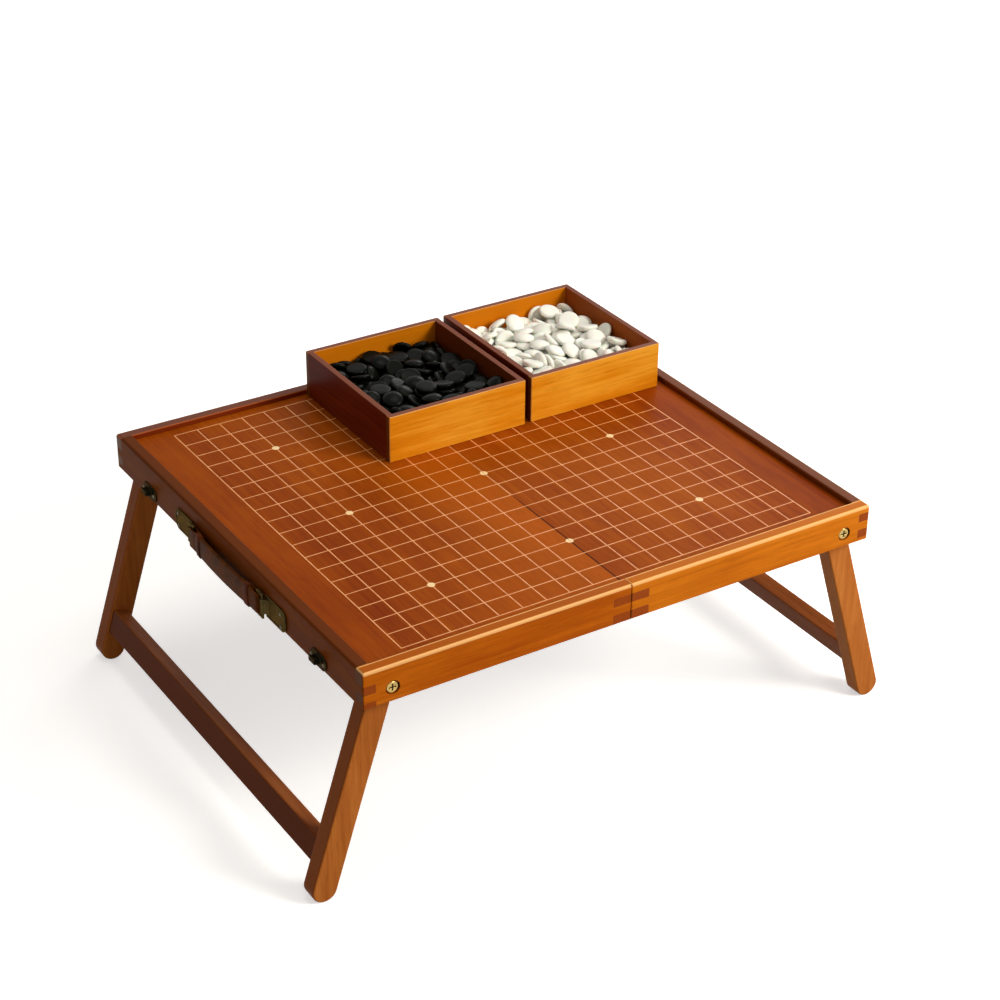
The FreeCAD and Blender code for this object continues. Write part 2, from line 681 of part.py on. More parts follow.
def drawer_pieces(x0, back_gap):
    """Four walls and a let-in floor, standing on the playing surface."""
    x1 = x0 + DRAWER_W
    y1 = INNER_Y - back_gap
    y0 = y1 - DRAWER_D
    z0, z1 = TOP_Z, TOP_Z + DRAWER_H
    t = DRAWER_WALL
    f0 = z0 + DRAWER_FLOOR_UP
    inner = t - DRAWER_FLOOR_TONGUE
    floor = box(x0 + inner, x1 - inner, y0 + inner, y1 - inner,
                f0, f0 + DRAWER_FLOOR_T)
    blank = box(x0, x1, y0, y1, z0, z1)
    upright = [e for e in blank.Edges
               if not near(e.Vertexes[0].Z, e.Vertexes[1].Z)]
    blank = blank.makeChamfer(DRAWER_BREAK, upright)
    rims = [e for e in blank.Edges if near(e.Vertexes[0].Z, e.Vertexes[1].Z)]
    blank = blank.makeChamfer(DRAWER_BREAK * 0.6, rims)
    ring = blank.cut(box(x0 + t, x1 - t, y0 + t, y1 - t, z0 - 1, z1 + 1))
    ring = ring.cut(floor)
    return {
        "front": ring.common(box(x0, x1, y0, y0 + t, z0, z1)),
        "back": ring.common(box(x0, x1, y1 - t, y1, z0, z1)),
        "left_side": ring.common(box(x0, x0 + t, y0 + t, y1 - t, z0, z1)),
        "right_side": ring.common(box(x1 - t, x1, y0 + t, y1 - t, z0, z1)),
        "floor": floor}


def stone():
    """One stone, flat below and domed above, centred on the origin."""
    r, h = STONE_D / 2, STONE_T / 2
    turns = [radians(360 / STONE_SIDES * i) for i in range(STONE_SIDES)]
    rim = (2 * STONE_RIM - 1) * h
    edge = [V(r * cos(a), r * sin(a), rim) for a in turns]
    faces = []
    for z, share in ((h, STONE_CROWN), (-h, STONE_BASE)):
        flat = [V(r * share * cos(a), r * share * sin(a), z) for a in turns]
        faces.append(Part.Face(Part.makePolygon(flat + flat[:1])))
        for i in range(STONE_SIDES):
            k = (i + 1) % STONE_SIDES
            side = [edge[i], edge[k], flat[k], flat[i], edge[i]]
            faces.append(Part.Face(Part.makePolygon(side)))
    return Part.makeSolid(Part.makeShell(faces))


def stone_spots(wide, deep):
    """Centres of one full layer, rows set half a stone aside, nearest first."""
    step = STONE_D + STONE_GAP
    row_step = step * sin(radians(60))
    columns = int((wide - STONE_D - step / 2) / step) + 1
    rows = int((deep - STONE_D) / row_step) + 1
    spots = []
    for j in range(rows):
        aside = (j % 2 - 0.5) * step / 2
        for i in range(columns):
            spots.append(((i - (columns - 1) / 2) * step + aside,
                          (j - (rows - 1) / 2) * row_step))
    return sorted(spots, key=lambda s: (round(s[0] ** 2 + s[1] ** 2, 3), s))


def stone_heap(x0, back_gap, count):
    """Full layers of stones, the last one heaped in the middle."""
    spots = stone_spots(DRAWER_W - 2 * DRAWER_WALL, DRAWER_D - 2 * DRAWER_WALL)
    cx, cy = x0 + DRAWER_W / 2, INNER_Y - back_gap - DRAWER_D / 2
    low = TOP_Z + DRAWER_FLOOR_UP + DRAWER_FLOOR_T + STONE_T / 2
    one = stone()
    stones = []
    for k in range(int(count)):
        layer, spot = divmod(k, len(spots))
        item = one.copy()
        item.translate(V(cx + spots[spot][0], cy + spots[spot][1],
                         low + layer * (STONE_T + STONE_PLAY)))
        stones.append(item)
    return Part.makeCompound(stones)


# ---- write every piece ----

os.makedirs("parts", exist_ok=True)

right = build_half(FIRST_FINGER_RIGHT)
left = {k: flip_x(s) for k, s in build_half(FIRST_FINGER_LEFT).items()}

holes = both_ends(pivot_holes())
screws_leaf = hinge_screws()
leaf_holes = Part.makeCompound(screws_leaf + [flip_y(s) for s in screws_leaf])
screws_latch = latch_screws()
latch_holes = Part.makeCompound(screws_latch + [flip_y(s) for s in screws_latch])
screws_handle = handle_screws()
handle_holes = Part.makeCompound(screws_handle + [flip_y(s) for s in screws_handle])

for name in ("front_rail", "back_rail"):
    right[name] = right[name].cut(holes)
    left[name] = left[name].cut(flip_x(holes))
right["seam_rail"] = right["seam_rail"].cut(leaf_holes)
left["seam_rail"] = left["seam_rail"].cut(flip_x(leaf_holes))
right["end_rail"] = right["end_rail"].cut(latch_holes)
left["end_rail"] = left["end_rail"].cut(flip_x(latch_holes)).cut(handle_holes)
for name in right:
    save("right_" + name, right[name])
    save("left_" + name, left[name])

bolts = both_ends(pivot_bolt())
nuts = both_ends(pivot_nut())
washers = both_ends(pivot_washer())
for side, turn in (("right", lambda s: s), ("left", flip_x)):
    save(side + "_pivot_bolts", turn(bolts))
    save(side + "_pivot_nuts", turn(nuts))
    save(side + "_pivot_washers", turn(washers))
    save(side + "_front_leg", turn(leg_turn(front_leg())))
    save(side + "_back_leg", turn(leg_turn(flip_y(front_leg()))))
    save(side + "_crossbar", turn(leg_turn(crossbar())))

save("right_hinge_leaves", both_ends(hinge_leaf(0)))
save("left_hinge_leaves", flip_x(both_ends(hinge_leaf(1))))
save("right_hinge_screws", leaf_holes)
save("left_hinge_screws", flip_x(leaf_holes))
save("hinge_pins", both_ends(hinge_pin()))

save("catch_plates", flip_x(both_ends(catch_plate())))
save("catch_screws", flip_x(latch_holes))
save("latch_plates", both_ends(latch_plate()))
save("latch_screws", latch_holes)
save("latch_pins", both_ends(latch_pin()))
save("back_latch_tongue", latch_tongue())
save("front_latch_tongue", flip_y(latch_tongue()))

save("handle_plates", both_ends(handle_plate()))
save("handle_screws", handle_holes)
save("back_handle_ring", handle_ring())
save("front_handle_ring", flip_y(handle_ring()))
save("handle_strap", handle_strap())

for colour, x0, gap in (("black", BLACK_X, BLACK_BACK_GAP),
                        ("white", WHITE_X, WHITE_BACK_GAP)):
    for name, shape in drawer_pieces(x0, gap).items():
        save(colour + "_drawer_" + name, shape)
save("black_stones", stone_heap(BLACK_X, BLACK_BACK_GAP, BLACK_COUNT))
save("white_stones", stone_heap(WHITE_X, WHITE_BACK_GAP, WHITE_COUNT))
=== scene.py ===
"""A folding go table with two stone drawers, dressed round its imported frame.

Metres, +X to the right end, +Y to the back, +Z up. Sizes written in
millimetres are named and multiplied by MM.
"""
import math
import random

import bpy
from mathutils import Euler, Matrix, Quaternion, Vector


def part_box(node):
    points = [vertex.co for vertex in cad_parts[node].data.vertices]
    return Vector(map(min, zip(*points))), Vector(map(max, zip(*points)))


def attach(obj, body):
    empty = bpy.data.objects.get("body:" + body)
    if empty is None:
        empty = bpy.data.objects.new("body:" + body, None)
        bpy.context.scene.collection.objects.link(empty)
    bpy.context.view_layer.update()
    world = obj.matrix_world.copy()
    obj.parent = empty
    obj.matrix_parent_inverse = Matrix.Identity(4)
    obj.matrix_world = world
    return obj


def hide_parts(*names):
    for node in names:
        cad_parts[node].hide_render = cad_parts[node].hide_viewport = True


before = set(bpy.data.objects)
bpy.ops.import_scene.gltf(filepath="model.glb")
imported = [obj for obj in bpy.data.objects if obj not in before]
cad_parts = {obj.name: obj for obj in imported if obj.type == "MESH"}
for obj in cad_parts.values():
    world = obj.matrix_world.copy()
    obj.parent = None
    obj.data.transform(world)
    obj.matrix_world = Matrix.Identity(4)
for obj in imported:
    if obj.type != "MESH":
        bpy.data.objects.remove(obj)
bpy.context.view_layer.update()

MM = 0.001

# ---- places read from the frame ----
PANEL_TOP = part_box("right_panel")[1].z
SEAM_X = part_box("right_panel")[0].x
RIM_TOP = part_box("right_front_rail")[1].z
BOLT_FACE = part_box("right_pivot_bolts")[1].y
RAIL_INNER_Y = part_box("right_front_rail")[1].y
CASE_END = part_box("right_end_rail")[1].x
RING_LOW, RING_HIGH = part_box("back_handle_ring")
RING_X = (RING_LOW.x + RING_HIGH.x) / 2
HANDLE_Z = (RING_LOW.z + RING_HIGH.z) / 2
# the drawers' top edge and the left edges of their fronts, along which painted highlight
# lines go
DRAWER_RIMS = [("z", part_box("black_drawer_front")[1].z),
               ("x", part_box("black_drawer_left_side")[0].x),
               ("x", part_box("white_drawer_left_side")[0].x)]

# ---- painted highlights on the rim of the front rails ----
RIM_HIGHLIGHT_IN = 1.3 * MM     # thin painted highlight line, from the rail's inner face
RIM_HIGHLIGHT_DOWN = 2.1 * MM   # broad painted highlight line, below the rim's top

# ---- playing field ----
GRID_LINES = 19
PITCH_X = 22.0 * MM
PITCH_Y = 22.2 * MM
LINE_W = 0.95 * MM
LINE_UP = 0.03 * MM
LINE_DEEP = 0.1 * MM
SEAM_WORN_Y = -2.5 * PITCH_Y    # the middle line is worn off in front of this
STAR_R = 3.3 * MM
STAR_UP = 0.05 * MM
STAR_LINES = (-6, 0, 6)
STAR_STEPS = 40

# ---- stones ----
STONE_R = 9.8 * MM
STONE_T = 6.2 * MM
STONE_BASE = 0.84      # flat underside, share of the radius
STONE_RIM = 0.3        # height of the widest place, share of the thickness
STONE_SHOULDER = 0.94  # below 1 the dome's shoulder is fuller than an ellipse
STONE_COUNTS = {"black": 181, "white": 180}


# ---- colours, nodes ----

def srgb(red, green, blue):
    """Display colour, 0 to 255, as the linear colour that nodes take."""
    linear = []
    for part in (red, green, blue):
        c = part / 255
        linear.append(c / 12.92 if c <= 0.04045 else ((c + 0.055) / 1.055) ** 2.4)
    return (*linear, 1.0)


def dimmed(colour, share):
    return tuple(c * share for c in colour[:3]) + (1.0,)


class Graph:
    """The node tree of a material or world, with short calls to build it."""

    def __init__(self, owner):
        owner.use_nodes = True
        self.tree = owner.node_tree
        self.coords = self.add("ShaderNodeTexCoord")

    def add(self, kind, **settings):
        node = self.tree.nodes.new(kind)
        for key, value in settings.items():
            setattr(node, key, value)
        return node

    def put(self, socket, value):
        """Links an output to the socket, or sets its number or colour."""
        if isinstance(value, bpy.types.NodeSocket):
            self.tree.links.new(value, socket)
        else:
            socket.default_value = value

    def math(self, operation, a, b=0.0):
        node = self.add("ShaderNodeMath", operation=operation)
        self.put(node.inputs[0], a)
        self.put(node.inputs[1], b)
        return node.outputs[0]

    def plus(self, a, b):
        return self.math("ADD", a, b)

    def times(self, a, b):
        return self.math("MULTIPLY", a, b)

    def rest(self, value):
        """What is left of 1."""
        return self.math("SUBTRACT", 1.0, value)

    def away(self, value, place):
        """How far a number lies from a place."""
        return self.math("ABSOLUTE", self.math("SUBTRACT", value, place))

    def vector(self, operation, a, b=(0, 0, 0)):
        node = self.add("ShaderNodeVectorMath", operation=operation)
        self.put(node.inputs[0], a)
        self.put(node.inputs[1], b)
        number = operation in ("DOT_PRODUCT", "LENGTH")
        return node.outputs["Value" if number else "Vector"]

    def parts(self, kind):
        """X, Y and Z of one of the texture coordinates."""
        node = self.add("ShaderNodeSeparateXYZ")
        self.put(node.inputs[0], self.coords.outputs[kind])
        return node.outputs

    def noise(self, scale, stretch=(1, 1, 1), detail=4.0, rough=0.55, warp=0.0,
              shift=(0, 0, 0)):
        mapping = self.add("ShaderNodeMapping")
        self.put(mapping.inputs["Vector"], self.coords.outputs["Object"])
        mapping.inputs["Scale"].default_value = stretch
        mapping.inputs["Location"].default_value = shift
        node = self.add("ShaderNodeTexNoise")
        self.put(node.inputs["Vector"], mapping.outputs[0])
        node.inputs["Scale"].default_value = scale
        node.inputs["Detail"].default_value = detail
        node.inputs["Roughness"].default_value = rough
        node.inputs["Distortion"].default_value = warp
        return node.outputs["Fac"]

    def ramp(self, value, *stops):
        """Colour ramp; each stop is (place, colour)."""
        node = self.add("ShaderNodeValToRGB")
        self.put(node.inputs[0], value)
        elements = node.color_ramp.elements
        while len(elements) < len(stops):
            elements.new(0.5)
        for element, (place, colour) in zip(elements, stops):
            element.position = place
            element.color = colour
        return node.outputs["Color"]

    def spread(self, value, low, high, to_low=0.0, to_high=1.0, kind="LINEAR"):
        """Maps low to high onto another stretch and stays inside it."""
        node = self.add("ShaderNodeMapRange", interpolation_type=kind)
        self.put(node.inputs["Value"], value)
        node.inputs["From Min"].default_value = low
        node.inputs["From Max"].default_value = high
        node.inputs["To Min"].default_value = to_low
        node.inputs["To Max"].default_value = to_high
        return node.outputs[0]

    def mask(self, value, low, high):
        """0 below low, 1 above high, smooth between."""
        return self.spread(value, low, high, kind="SMOOTHSTEP")

    def mix(self, fac, a, b, blend="MIX"):
        """The colour a, going over to b as fac goes from 0 to 1."""
        node = self.add("ShaderNodeMix", data_type="RGBA", blend_type=blend)
        self.put(node.inputs["Factor"], fac)
        self.put(node.inputs[6], a)
        self.put(node.inputs[7], b)
        return node.outputs[2]

    def mix_numbers(self, fac, a, b):
        node = self.add("ShaderNodeMix")
        self.put(node.inputs["Factor"], fac)
        self.put(node.inputs["A"], a)
        self.put(node.inputs["B"], b)
        return node.outputs["Result"]

    def bevel(self, radius):
        node = self.add("ShaderNodeBevel", samples=4)
        node.inputs["Radius"].default_value = radius
        return node.outputs[0]

    def edges(self, radius):
        """1 on sharp edges, 0 on flat stretches."""
        geometry = self.add("ShaderNodeNewGeometry")
        dot = self.vector("DOT_PRODUCT", self.bevel(radius), geometry.outputs["Normal"])
        return self.mask(self.rest(dot), 0.03, 0.25)

    def bump(self, height, distance, normal=None, strength=1.0):
        node = self.add("ShaderNodeBump")
        node.inputs["Strength"].default_value = strength
        node.inputs["Distance"].default_value = distance
        self.put(node.inputs["Height"], height)
        if normal is not None:
            self.put(node.inputs["Normal"], normal)
        return node.outputs[0]

    def seen(self):
        """1 for what the camera sees and for what metal and gloss mirror."""
        path = self.add("ShaderNodeLightPath")
        seen = path.outputs["Is Camera Ray"]
        for kind in ("Is Glossy Ray", "Is Transmission Ray"):
            seen = self.math("MAXIMUM", seen, path.outputs[kind])
        return seen

    def shade(self, **inputs):
        bsdf = self.tree.nodes["Principled BSDF"]
        for key, value in inputs.items():
            self.put(bsdf.inputs[key.replace("_", " ")], value)


FINISHES = {}          # every material made here, by its name


def finish_graph(name):
    FINISHES[name] = bpy.data.materials.new(name)
    return Graph(FINISHES[name])


# ---- wood ----

AXES = {"x": (1, 0, 0), "y": (0, 1, 0), "z": (0, 0, 1)}
UP = (0, 0, 1)
LEFT, RIGHT = (-1, 0, 0), (1, 0, 0)
FRONT, BACK = (0, -1, 0), (0, 1, 0)

# scale of each noise along and across the grain, per metre
BROAD_GRAIN = (1.8, 16.0)
FINE_GRAIN = (9.0, 240.0)
PORES = (60.0, 1500.0)
CLOUDS = 7.0
# what each noise gives to the tone, and how far the ramp's outer tones lie off
BROAD_SHARE, FINE_SHARE, CLOUD_SHARE = 0.50, 0.34, 0.30
TONE_REACH = 0.14

# stretches on which a mask goes from none to full; those of faces are the
# cosine between the face's direction and the one asked for
LOOKING = (0.6, 0.85)
END_LOOKING = (0.75, 0.95)
# the rim's rounded top edges, which get a painted highlight, and on the end rails painted
# shade
ARRIS_STEEP, ARRIS_FLAT = (0.30, 0.55), (0.80, 0.97)
ARRIS_DEPTH = (4 * MM, 3 * MM)                  # below the rim's top
HIGHLIGHT_OFF = (0.35 * MM, 0.95 * MM)                # from an edge with a painted highlight line
# where the painted shade of the open seam lies
SEAM_SHADE_OFF = (0.35 * MM, 0.9 * MM)                # from the seam
SEAM_SHADE_END = (SEAM_WORN_Y - 20 * MM, SEAM_WORN_Y + 25 * MM)
FLECKS = (0.58, 0.70)
WOOD_ROUND = 0.9 * MM


class Grain:
    """The noises of one piece of wood and the numbers made from them."""

    def __init__(self, g, axis, figure, seed):
        self.axis = "xyz".index(axis)
        along = Vector(AXES[axis])
        across = Vector((1, 1, 1)) - along
        shift = (seed, seed * 0.7, seed * 1.3)

        def streaks(scale, **more):
            stretch = tuple(along * scale[0] + across * scale[1])
            return g.noise(1.0, stretch, shift=shift, **more)

        broad = streaks(BROAD_GRAIN, detail=5, rough=0.62, warp=0.7)
        self.fine = streaks(FINE_GRAIN, detail=5, rough=0.65)
        pores = streaks(PORES, detail=2, rough=0.5)
        self.cloud = g.noise(CLOUDS, detail=3, shift=shift)
        self.flecks = g.mask(pores, *FLECKS)
        tone = g.plus(g.times(broad, BROAD_SHARE * figure),
                      g.times(self.fine, FINE_SHARE * figure))
        self.tone = g.plus(tone, g.times(self.cloud, CLOUD_SHARE))
        self.middle = 0.5 * ((BROAD_SHARE + FINE_SHARE) * figure + CLOUD_SHARE)
        self.place = g.parts("Object")
        self.facing = g.parts("Normal")


def drifted(g, grain, colour, begin, finish, tint):
    """The colour goes over to a tint between two places in X."""
    ragged = g.plus(grain.place[0], g.times(grain.cloud, 0.08))
    amount = g.mask(ragged, begin + 0.04, finish + 0.04)
    tinted = g.mix(0.5, tint, g.mix(1.0, colour, tint, "OVERLAY"))
    return g.mix(g.times(amount, 0.8), colour, tinted)


def looking(g, direction):
    """1 on faces that look in a direction, 0 on those that look elsewhere."""
    facing = g.vector("DOT_PRODUCT", g.coords.outputs["Normal"], direction)
    return g.mask(facing, *LOOKING)


def face_stain_and_painted_light(g, grain, colour, direction, tint):
    """Sides that look in a direction get a colour of their own: on some the wood's own
    stained colour, on others painted light, on others again painted shade.
    """
    face_colour = g.mix(g.times(grain.tone, 0.7 / grain.middle), dimmed(tint, 0.55), tint)
    return g.mix(looking(g, direction), colour, face_colour)


def end_grain(g, grain, colour, end):
    speck = g.noise(900.0, detail=2)
    specked = g.mix(speck, dimmed(end, 0.75), dimmed(end, 1.25))
    ends = g.mask(g.math("ABSOLUTE", grain.facing[grain.axis]), *END_LOOKING)
    return g.mix(g.times(ends, 0.95), colour, specked)


def painted_edge_highlights(g, grain, colour, direction, tint, share, edges):
    """Painted highlight lines on the faces of one direction, along some of their edges."""
    ahead = looking(g, direction)
    for side, where in edges:
        off = g.away(grain.place["xyz".index(side)], where)
        band = g.rest(g.mask(off, *HIGHLIGHT_OFF))
        colour = g.mix(g.times(g.times(band, ahead), share), colour, tint)
    return colour


def painted_arris_light(g, grain, colour, tint, share):
    """Painted light on the rounded top edges of the rim: a highlight where the tint is
    lighter, shade where it is darker.
    """
    slope = g.times(g.mask(grain.facing[2], *ARRIS_STEEP),
                    g.rest(g.mask(grain.facing[2], *ARRIS_FLAT)))
    high = g.mask(grain.place[2], *(RIM_TOP - depth for depth in ARRIS_DEPTH))
    return g.mix(g.times(g.times(slope, high), share), colour, tint)


def painted_seam_shade(g, grain, colour, tint):
    """Painted shade of the open seam along the fold, in front of where the middle line is
    worn off.
    """
    beside = g.rest(g.mask(g.math("ABSOLUTE", grain.place[0]), *SEAM_SHADE_OFF))
    ahead = g.rest(g.mask(grain.place[1], *SEAM_SHADE_END))
    return g.mix(g.times(g.times(beside, ahead), 0.95), colour, tint)


def wood(name, axis, dark, mid, light, faces=(), end=None, highlight_lines=(), arris_paint=None,
         seed=0.0, rough=0.42, sheen=0.30, figure=1.0, drift=None, seam=None):
    """Stained, varnished wood whose grain runs along an axis.

    faces holds (direction, colour) of sides with a colour of their own: on some
    the wood's own stained colour, on others painted light, on others again
    painted shade. end is the colour of the end grain. highlight_lines lists
    (direction, colour, share, edges) of painted highlight lines along a face's
    edges, each edge an axis and a place on it, and arris_paint is (colour,
    share) of a painted highlight on the rounded top edges of the rim, painted
    shade where the colour is darker. drift is (from x, to x, colour): the colour
    goes over to that one. seam is the colour of the painted shade along the
    open fold.
    """
    g = finish_graph(name)
    grain = Grain(g, axis, figure, seed)
    colour = g.ramp(grain.tone, (grain.middle - TONE_REACH, dark),
                    (grain.middle, mid), (grain.middle + TONE_REACH, light))
    if drift:
        colour = drifted(g, grain, colour, *drift)
    colour = g.mix(g.times(grain.flecks, 0.28), colour, dimmed(dark, 0.4))
    # sides with a colour of their own: some stained, some with painted light, some with
    # painted shade
    for direction, tint in faces:
        colour = face_stain_and_painted_light(g, grain, colour, direction, tint)
    colour = end_grain(g, grain, colour, end or dimmed(mid, 0.45))
    # painted highlight lines along some edges
    for lines in highlight_lines:
        colour = painted_edge_highlights(g, grain, colour, *lines)
    # painted highlight on the rim's rounded top edges, painted shade where the tint is
    # darker
    if arris_paint:
        colour = painted_arris_light(g, grain, colour, *arris_paint)
    # painted shade along the open seam
    if seam:
        colour = painted_seam_shade(g, grain, colour, seam)
    height = g.math("SUBTRACT", g.times(grain.fine, 0.6), g.times(grain.flecks, 0.5))
    normal = g.bump(height, 0.05 * MM, g.bevel(WOOD_ROUND), strength=0.4)
    gloss = g.plus(g.times(grain.fine, 0.16), rough - 0.08)
    g.shade(Base_Color=colour, Roughness=gloss, Normal=normal,
            Specular_IOR_Level=sheen)


# ---- other materials ----

def bronze(name, base, worn, round_off=0.25 * MM):
    """Dark antique bronze, brighter where the edges are worn."""
    g = finish_graph(name)
    patina = g.noise(180.0, detail=6, rough=0.6)
    colour = g.ramp(patina, (0.35, dimmed(base, 0.5)), (0.62, base))
    colour = g.mix(g.times(g.edges(0.5 * MM), 0.85), colour, worn)
    normal = g.bump(g.noise(900.0, detail=3), 0.05 * MM, g.bevel(round_off), 0.5)
    gloss = g.plus(g.times(patina, 0.22), 0.32)
    g.shade(Base_Color=colour, Metallic=0.85, Roughness=gloss, Normal=normal,
            Specular_IOR_Level=0.2, Specular_Tint=(0.60, 0.46, 0.25, 1.0))


def brass(name, base, face=None):
    """Hazy brass; where face, its distance in Y, is given, all more than 0.9 mm behind
    that face is near black, painted shade in the recesses.
    """
    g = finish_graph(name)
    haze = g.noise(400.0, detail=5)
    colour = g.ramp(haze, (0.3, dimmed(base, 0.6)), (0.7, base))
    if face:
        # painted shade: near black in the cross recess and behind the head
        out = g.mask(g.math("ABSOLUTE", g.parts("Object")[1]), face - 0.9 * MM,
                     face - 0.3 * MM)
        colour = g.mix(out, dimmed(base, 0.08), colour)
    normal = g.bump(g.noise(1500.0), 0.02 * MM, g.bevel(0.3 * MM), 0.5)
    gloss = g.plus(g.times(haze, 0.2), 0.15)
    g.shade(Base_Color=colour, Metallic=1.0, Roughness=gloss, Normal=normal)


def leather(name, base, dark):
    """Creased leather, darker in the creases and on its edges."""
    g = finish_graph(name)
    cloud = g.noise(60.0, detail=5)
    cells = g.add("ShaderNodeTexVoronoi", feature="DISTANCE_TO_EDGE")
    g.put(cells.inputs["Vector"], g.coords.outputs["Object"])
    cells.inputs["Scale"].default_value = 900.0
    creases = g.mask(cells.outputs["Distance"], 0.0, 0.12)
    colour = g.ramp(cloud, (0.3, dark), (0.7, base))
    colour = g.mix(g.times(g.rest(creases), 0.45), colour, dark)
    colour = g.mix(g.times(g.edges(0.7 * MM), 0.6), colour, dimmed(dark, 0.35))
    normal = g.bump(creases, 0.09 * MM, g.bevel(0.4 * MM), 0.7)
    gloss = g.plus(g.times(cloud, 0.25), 0.34)
    g.shade(Base_Color=colour, Roughness=gloss, Normal=normal,
            Specular_IOR_Level=0.03)


def thread(name, base):
    g = finish_graph(name)
    twist = g.add("ShaderNodeTexWave", wave_type="BANDS", bands_direction="DIAGONAL")
    g.put(twist.inputs["Vector"], g.coords.outputs["Object"])
    twist.inputs["Scale"].default_value = 1200.0
    colour = g.ramp(twist.outputs["Fac"], (0.0, dimmed(base, 0.6)), (1.0, base))
    g.shade(Base_Color=colour, Roughness=0.75,
            Normal=g.bump(twist.outputs["Fac"], 0.05 * MM))


def paint(name, base, worn):
    """Thin printed lines, paler and worn in patches."""
    g = finish_graph(name)
    patches = g.noise(240.0, detail=4)
    colour = g.ramp(patches, (0.35, worn), (0.6, base))
    g.shade(Base_Color=colour, Roughness=0.5,
            Normal=g.bump(g.noise(2500.0), 0.01 * MM))


def stone_glass(name, base, shadow, rough, sheen, **more):
    """Polished stone; each one a little lighter or darker than the next."""
    g = finish_graph(name)
    tone = g.add("ShaderNodeAttribute", attribute_name="tone")
    haze = g.noise(160.0, detail=3)
    amount = g.plus(g.times(tone.outputs["Fac"], 0.7), g.times(haze, 0.3))
    colour = g.mix(amount, shadow, base)
    gloss = g.plus(g.times(haze, 0.12), rough - 0.06)
    normal = g.bump(g.noise(700.0, detail=2), 0.02 * MM, strength=0.4)
    g.shade(Base_Color=colour, Roughness=gloss, Normal=normal,
            Specular_IOR_Level=sheen, **more)


def fibre(name, base):
    """Matte washer fibre with a fine, uneven surface."""
    g = finish_graph(name)
    speck = g.noise(300.0, detail=5)
    colour = g.ramp(speck, (0.3, dimmed(base, 0.75)), (0.7, base))
    g.shade(Base_Color=colour, Roughness=0.8,
            Normal=g.bump(speck, 0.04 * MM, strength=0.6))


# ---- the finishes ----

# colours that several woods share: a painted highlight for edges and two kinds of end
# grain
HIGHLIGHT_PAINT = srgb(255, 200, 130)
DUSK = srgb(96, 50, 12)
TIP = srgb(158, 72, 24)


def rail_woods():
    # the left front rail's palette and top are darker than the right one's: partly the
    # woods' own tone, partly painted light falling off towards the left
    left = [srgb(166, 72, 4), srgb(194, 98, 10), srgb(212, 118, 26)]
    right = [srgb(186, 92, 10), srgb(216, 120, 20), srgb(232, 140, 36)]
    cross = [srgb(104, 46, 6), srgb(128, 62, 10), srgb(148, 80, 18)]
    ruddy = srgb(128, 46, 8)
    # the front rails' painted highlights: on the rounded top edge, along the inner top
    # edge and just below the top of the front face
    front = {"end": DUSK, "arris_paint": (HIGHLIGHT_PAINT, 0.8), "sheen": 0.04,
             "highlight_lines": [(UP, HIGHLIGHT_PAINT, 0.6, [("y", RAIL_INNER_Y - RIM_HIGHLIGHT_IN)]),
                        (FRONT, HIGHLIGHT_PAINT, 0.7, [("z", RIM_TOP - RIM_HIGHLIGHT_DOWN)])]}
    wood("right_front_rail_wood", "x", *right, seed=2.2,
         faces=[(UP, srgb(196, 106, 14)), (BACK, ruddy)], **front)
    wood("left_front_rail_wood", "x", *left, seed=4.9,
         faces=[(UP, srgb(180, 90, 10)), (BACK, ruddy)], **front)
    # the back rail's rounded top edges get a painted highlight
    wood("back_rail_wood", "x", *left, end=DUSK, seed=8.3, sheen=0.1,
         faces=[(UP, srgb(112, 56, 32)), (FRONT, ruddy)],
         arris_paint=(srgb(170, 84, 40), 0.5))
    # the left end rail's top is darker, painted shade, and the right one's lighter,
    # painted light; on both, painted shade on the rounded top edges
    wood("left_end_rail_wood", "y", *cross, end=TIP, seed=6.3, sheen=0.02,
         faces=[(UP, srgb(104, 50, 16))], arris_paint=(srgb(92, 42, 12), 0.6))
    wood("right_end_rail_wood", "y", *cross, end=TIP, seed=8.9, sheen=0.04,
         faces=[(UP, srgb(120, 66, 38))], arris_paint=(srgb(104, 52, 26), 0.6))


def board_and_leg_woods():
    # seam is the colour of the painted shade along the open fold
    field = {"rough": 0.48, "figure": 0.85, "seam": srgb(34, 12, 5), "sheen": 0.03}
    panel = [srgb(121, 44, 2), srgb(145, 64, 4), srgb(165, 82, 12)]
    leg = [srgb(158, 82, 30), srgb(190, 110, 46), srgb(210, 132, 64)]
    bar = [srgb(116, 56, 22), srgb(142, 76, 34), srgb(164, 96, 48)]
    wood("right_panel_wood", "y", *panel, seed=3.1, **field)
    wood("left_panel_wood", "y", *panel, seed=5.6,
         drift=(-0.16, -0.01, srgb(188, 108, 18)), **field)
    # the left faces of the left crossbar and legs are darker, painted shade, and those of
    # the right crossbar and legs lighter, painted light
    wood("left_crossbar_wood", "y", *bar, end=DUSK, seed=4.4, sheen=0.03,
         faces=[(LEFT, srgb(112, 50, 14))])
    wood("right_crossbar_wood", "y", *bar, end=DUSK, seed=5.1, sheen=0.03,
         faces=[(LEFT, srgb(180, 104, 58))])
    wood("left_leg_wood", "z", *leg, seed=5.5, sheen=0.04,
         faces=[(LEFT, srgb(160, 84, 32))])
    wood("right_leg_wood", "z", *leg, seed=7.5, sheen=0.04,
         faces=[(LEFT, srgb(220, 134, 62))])


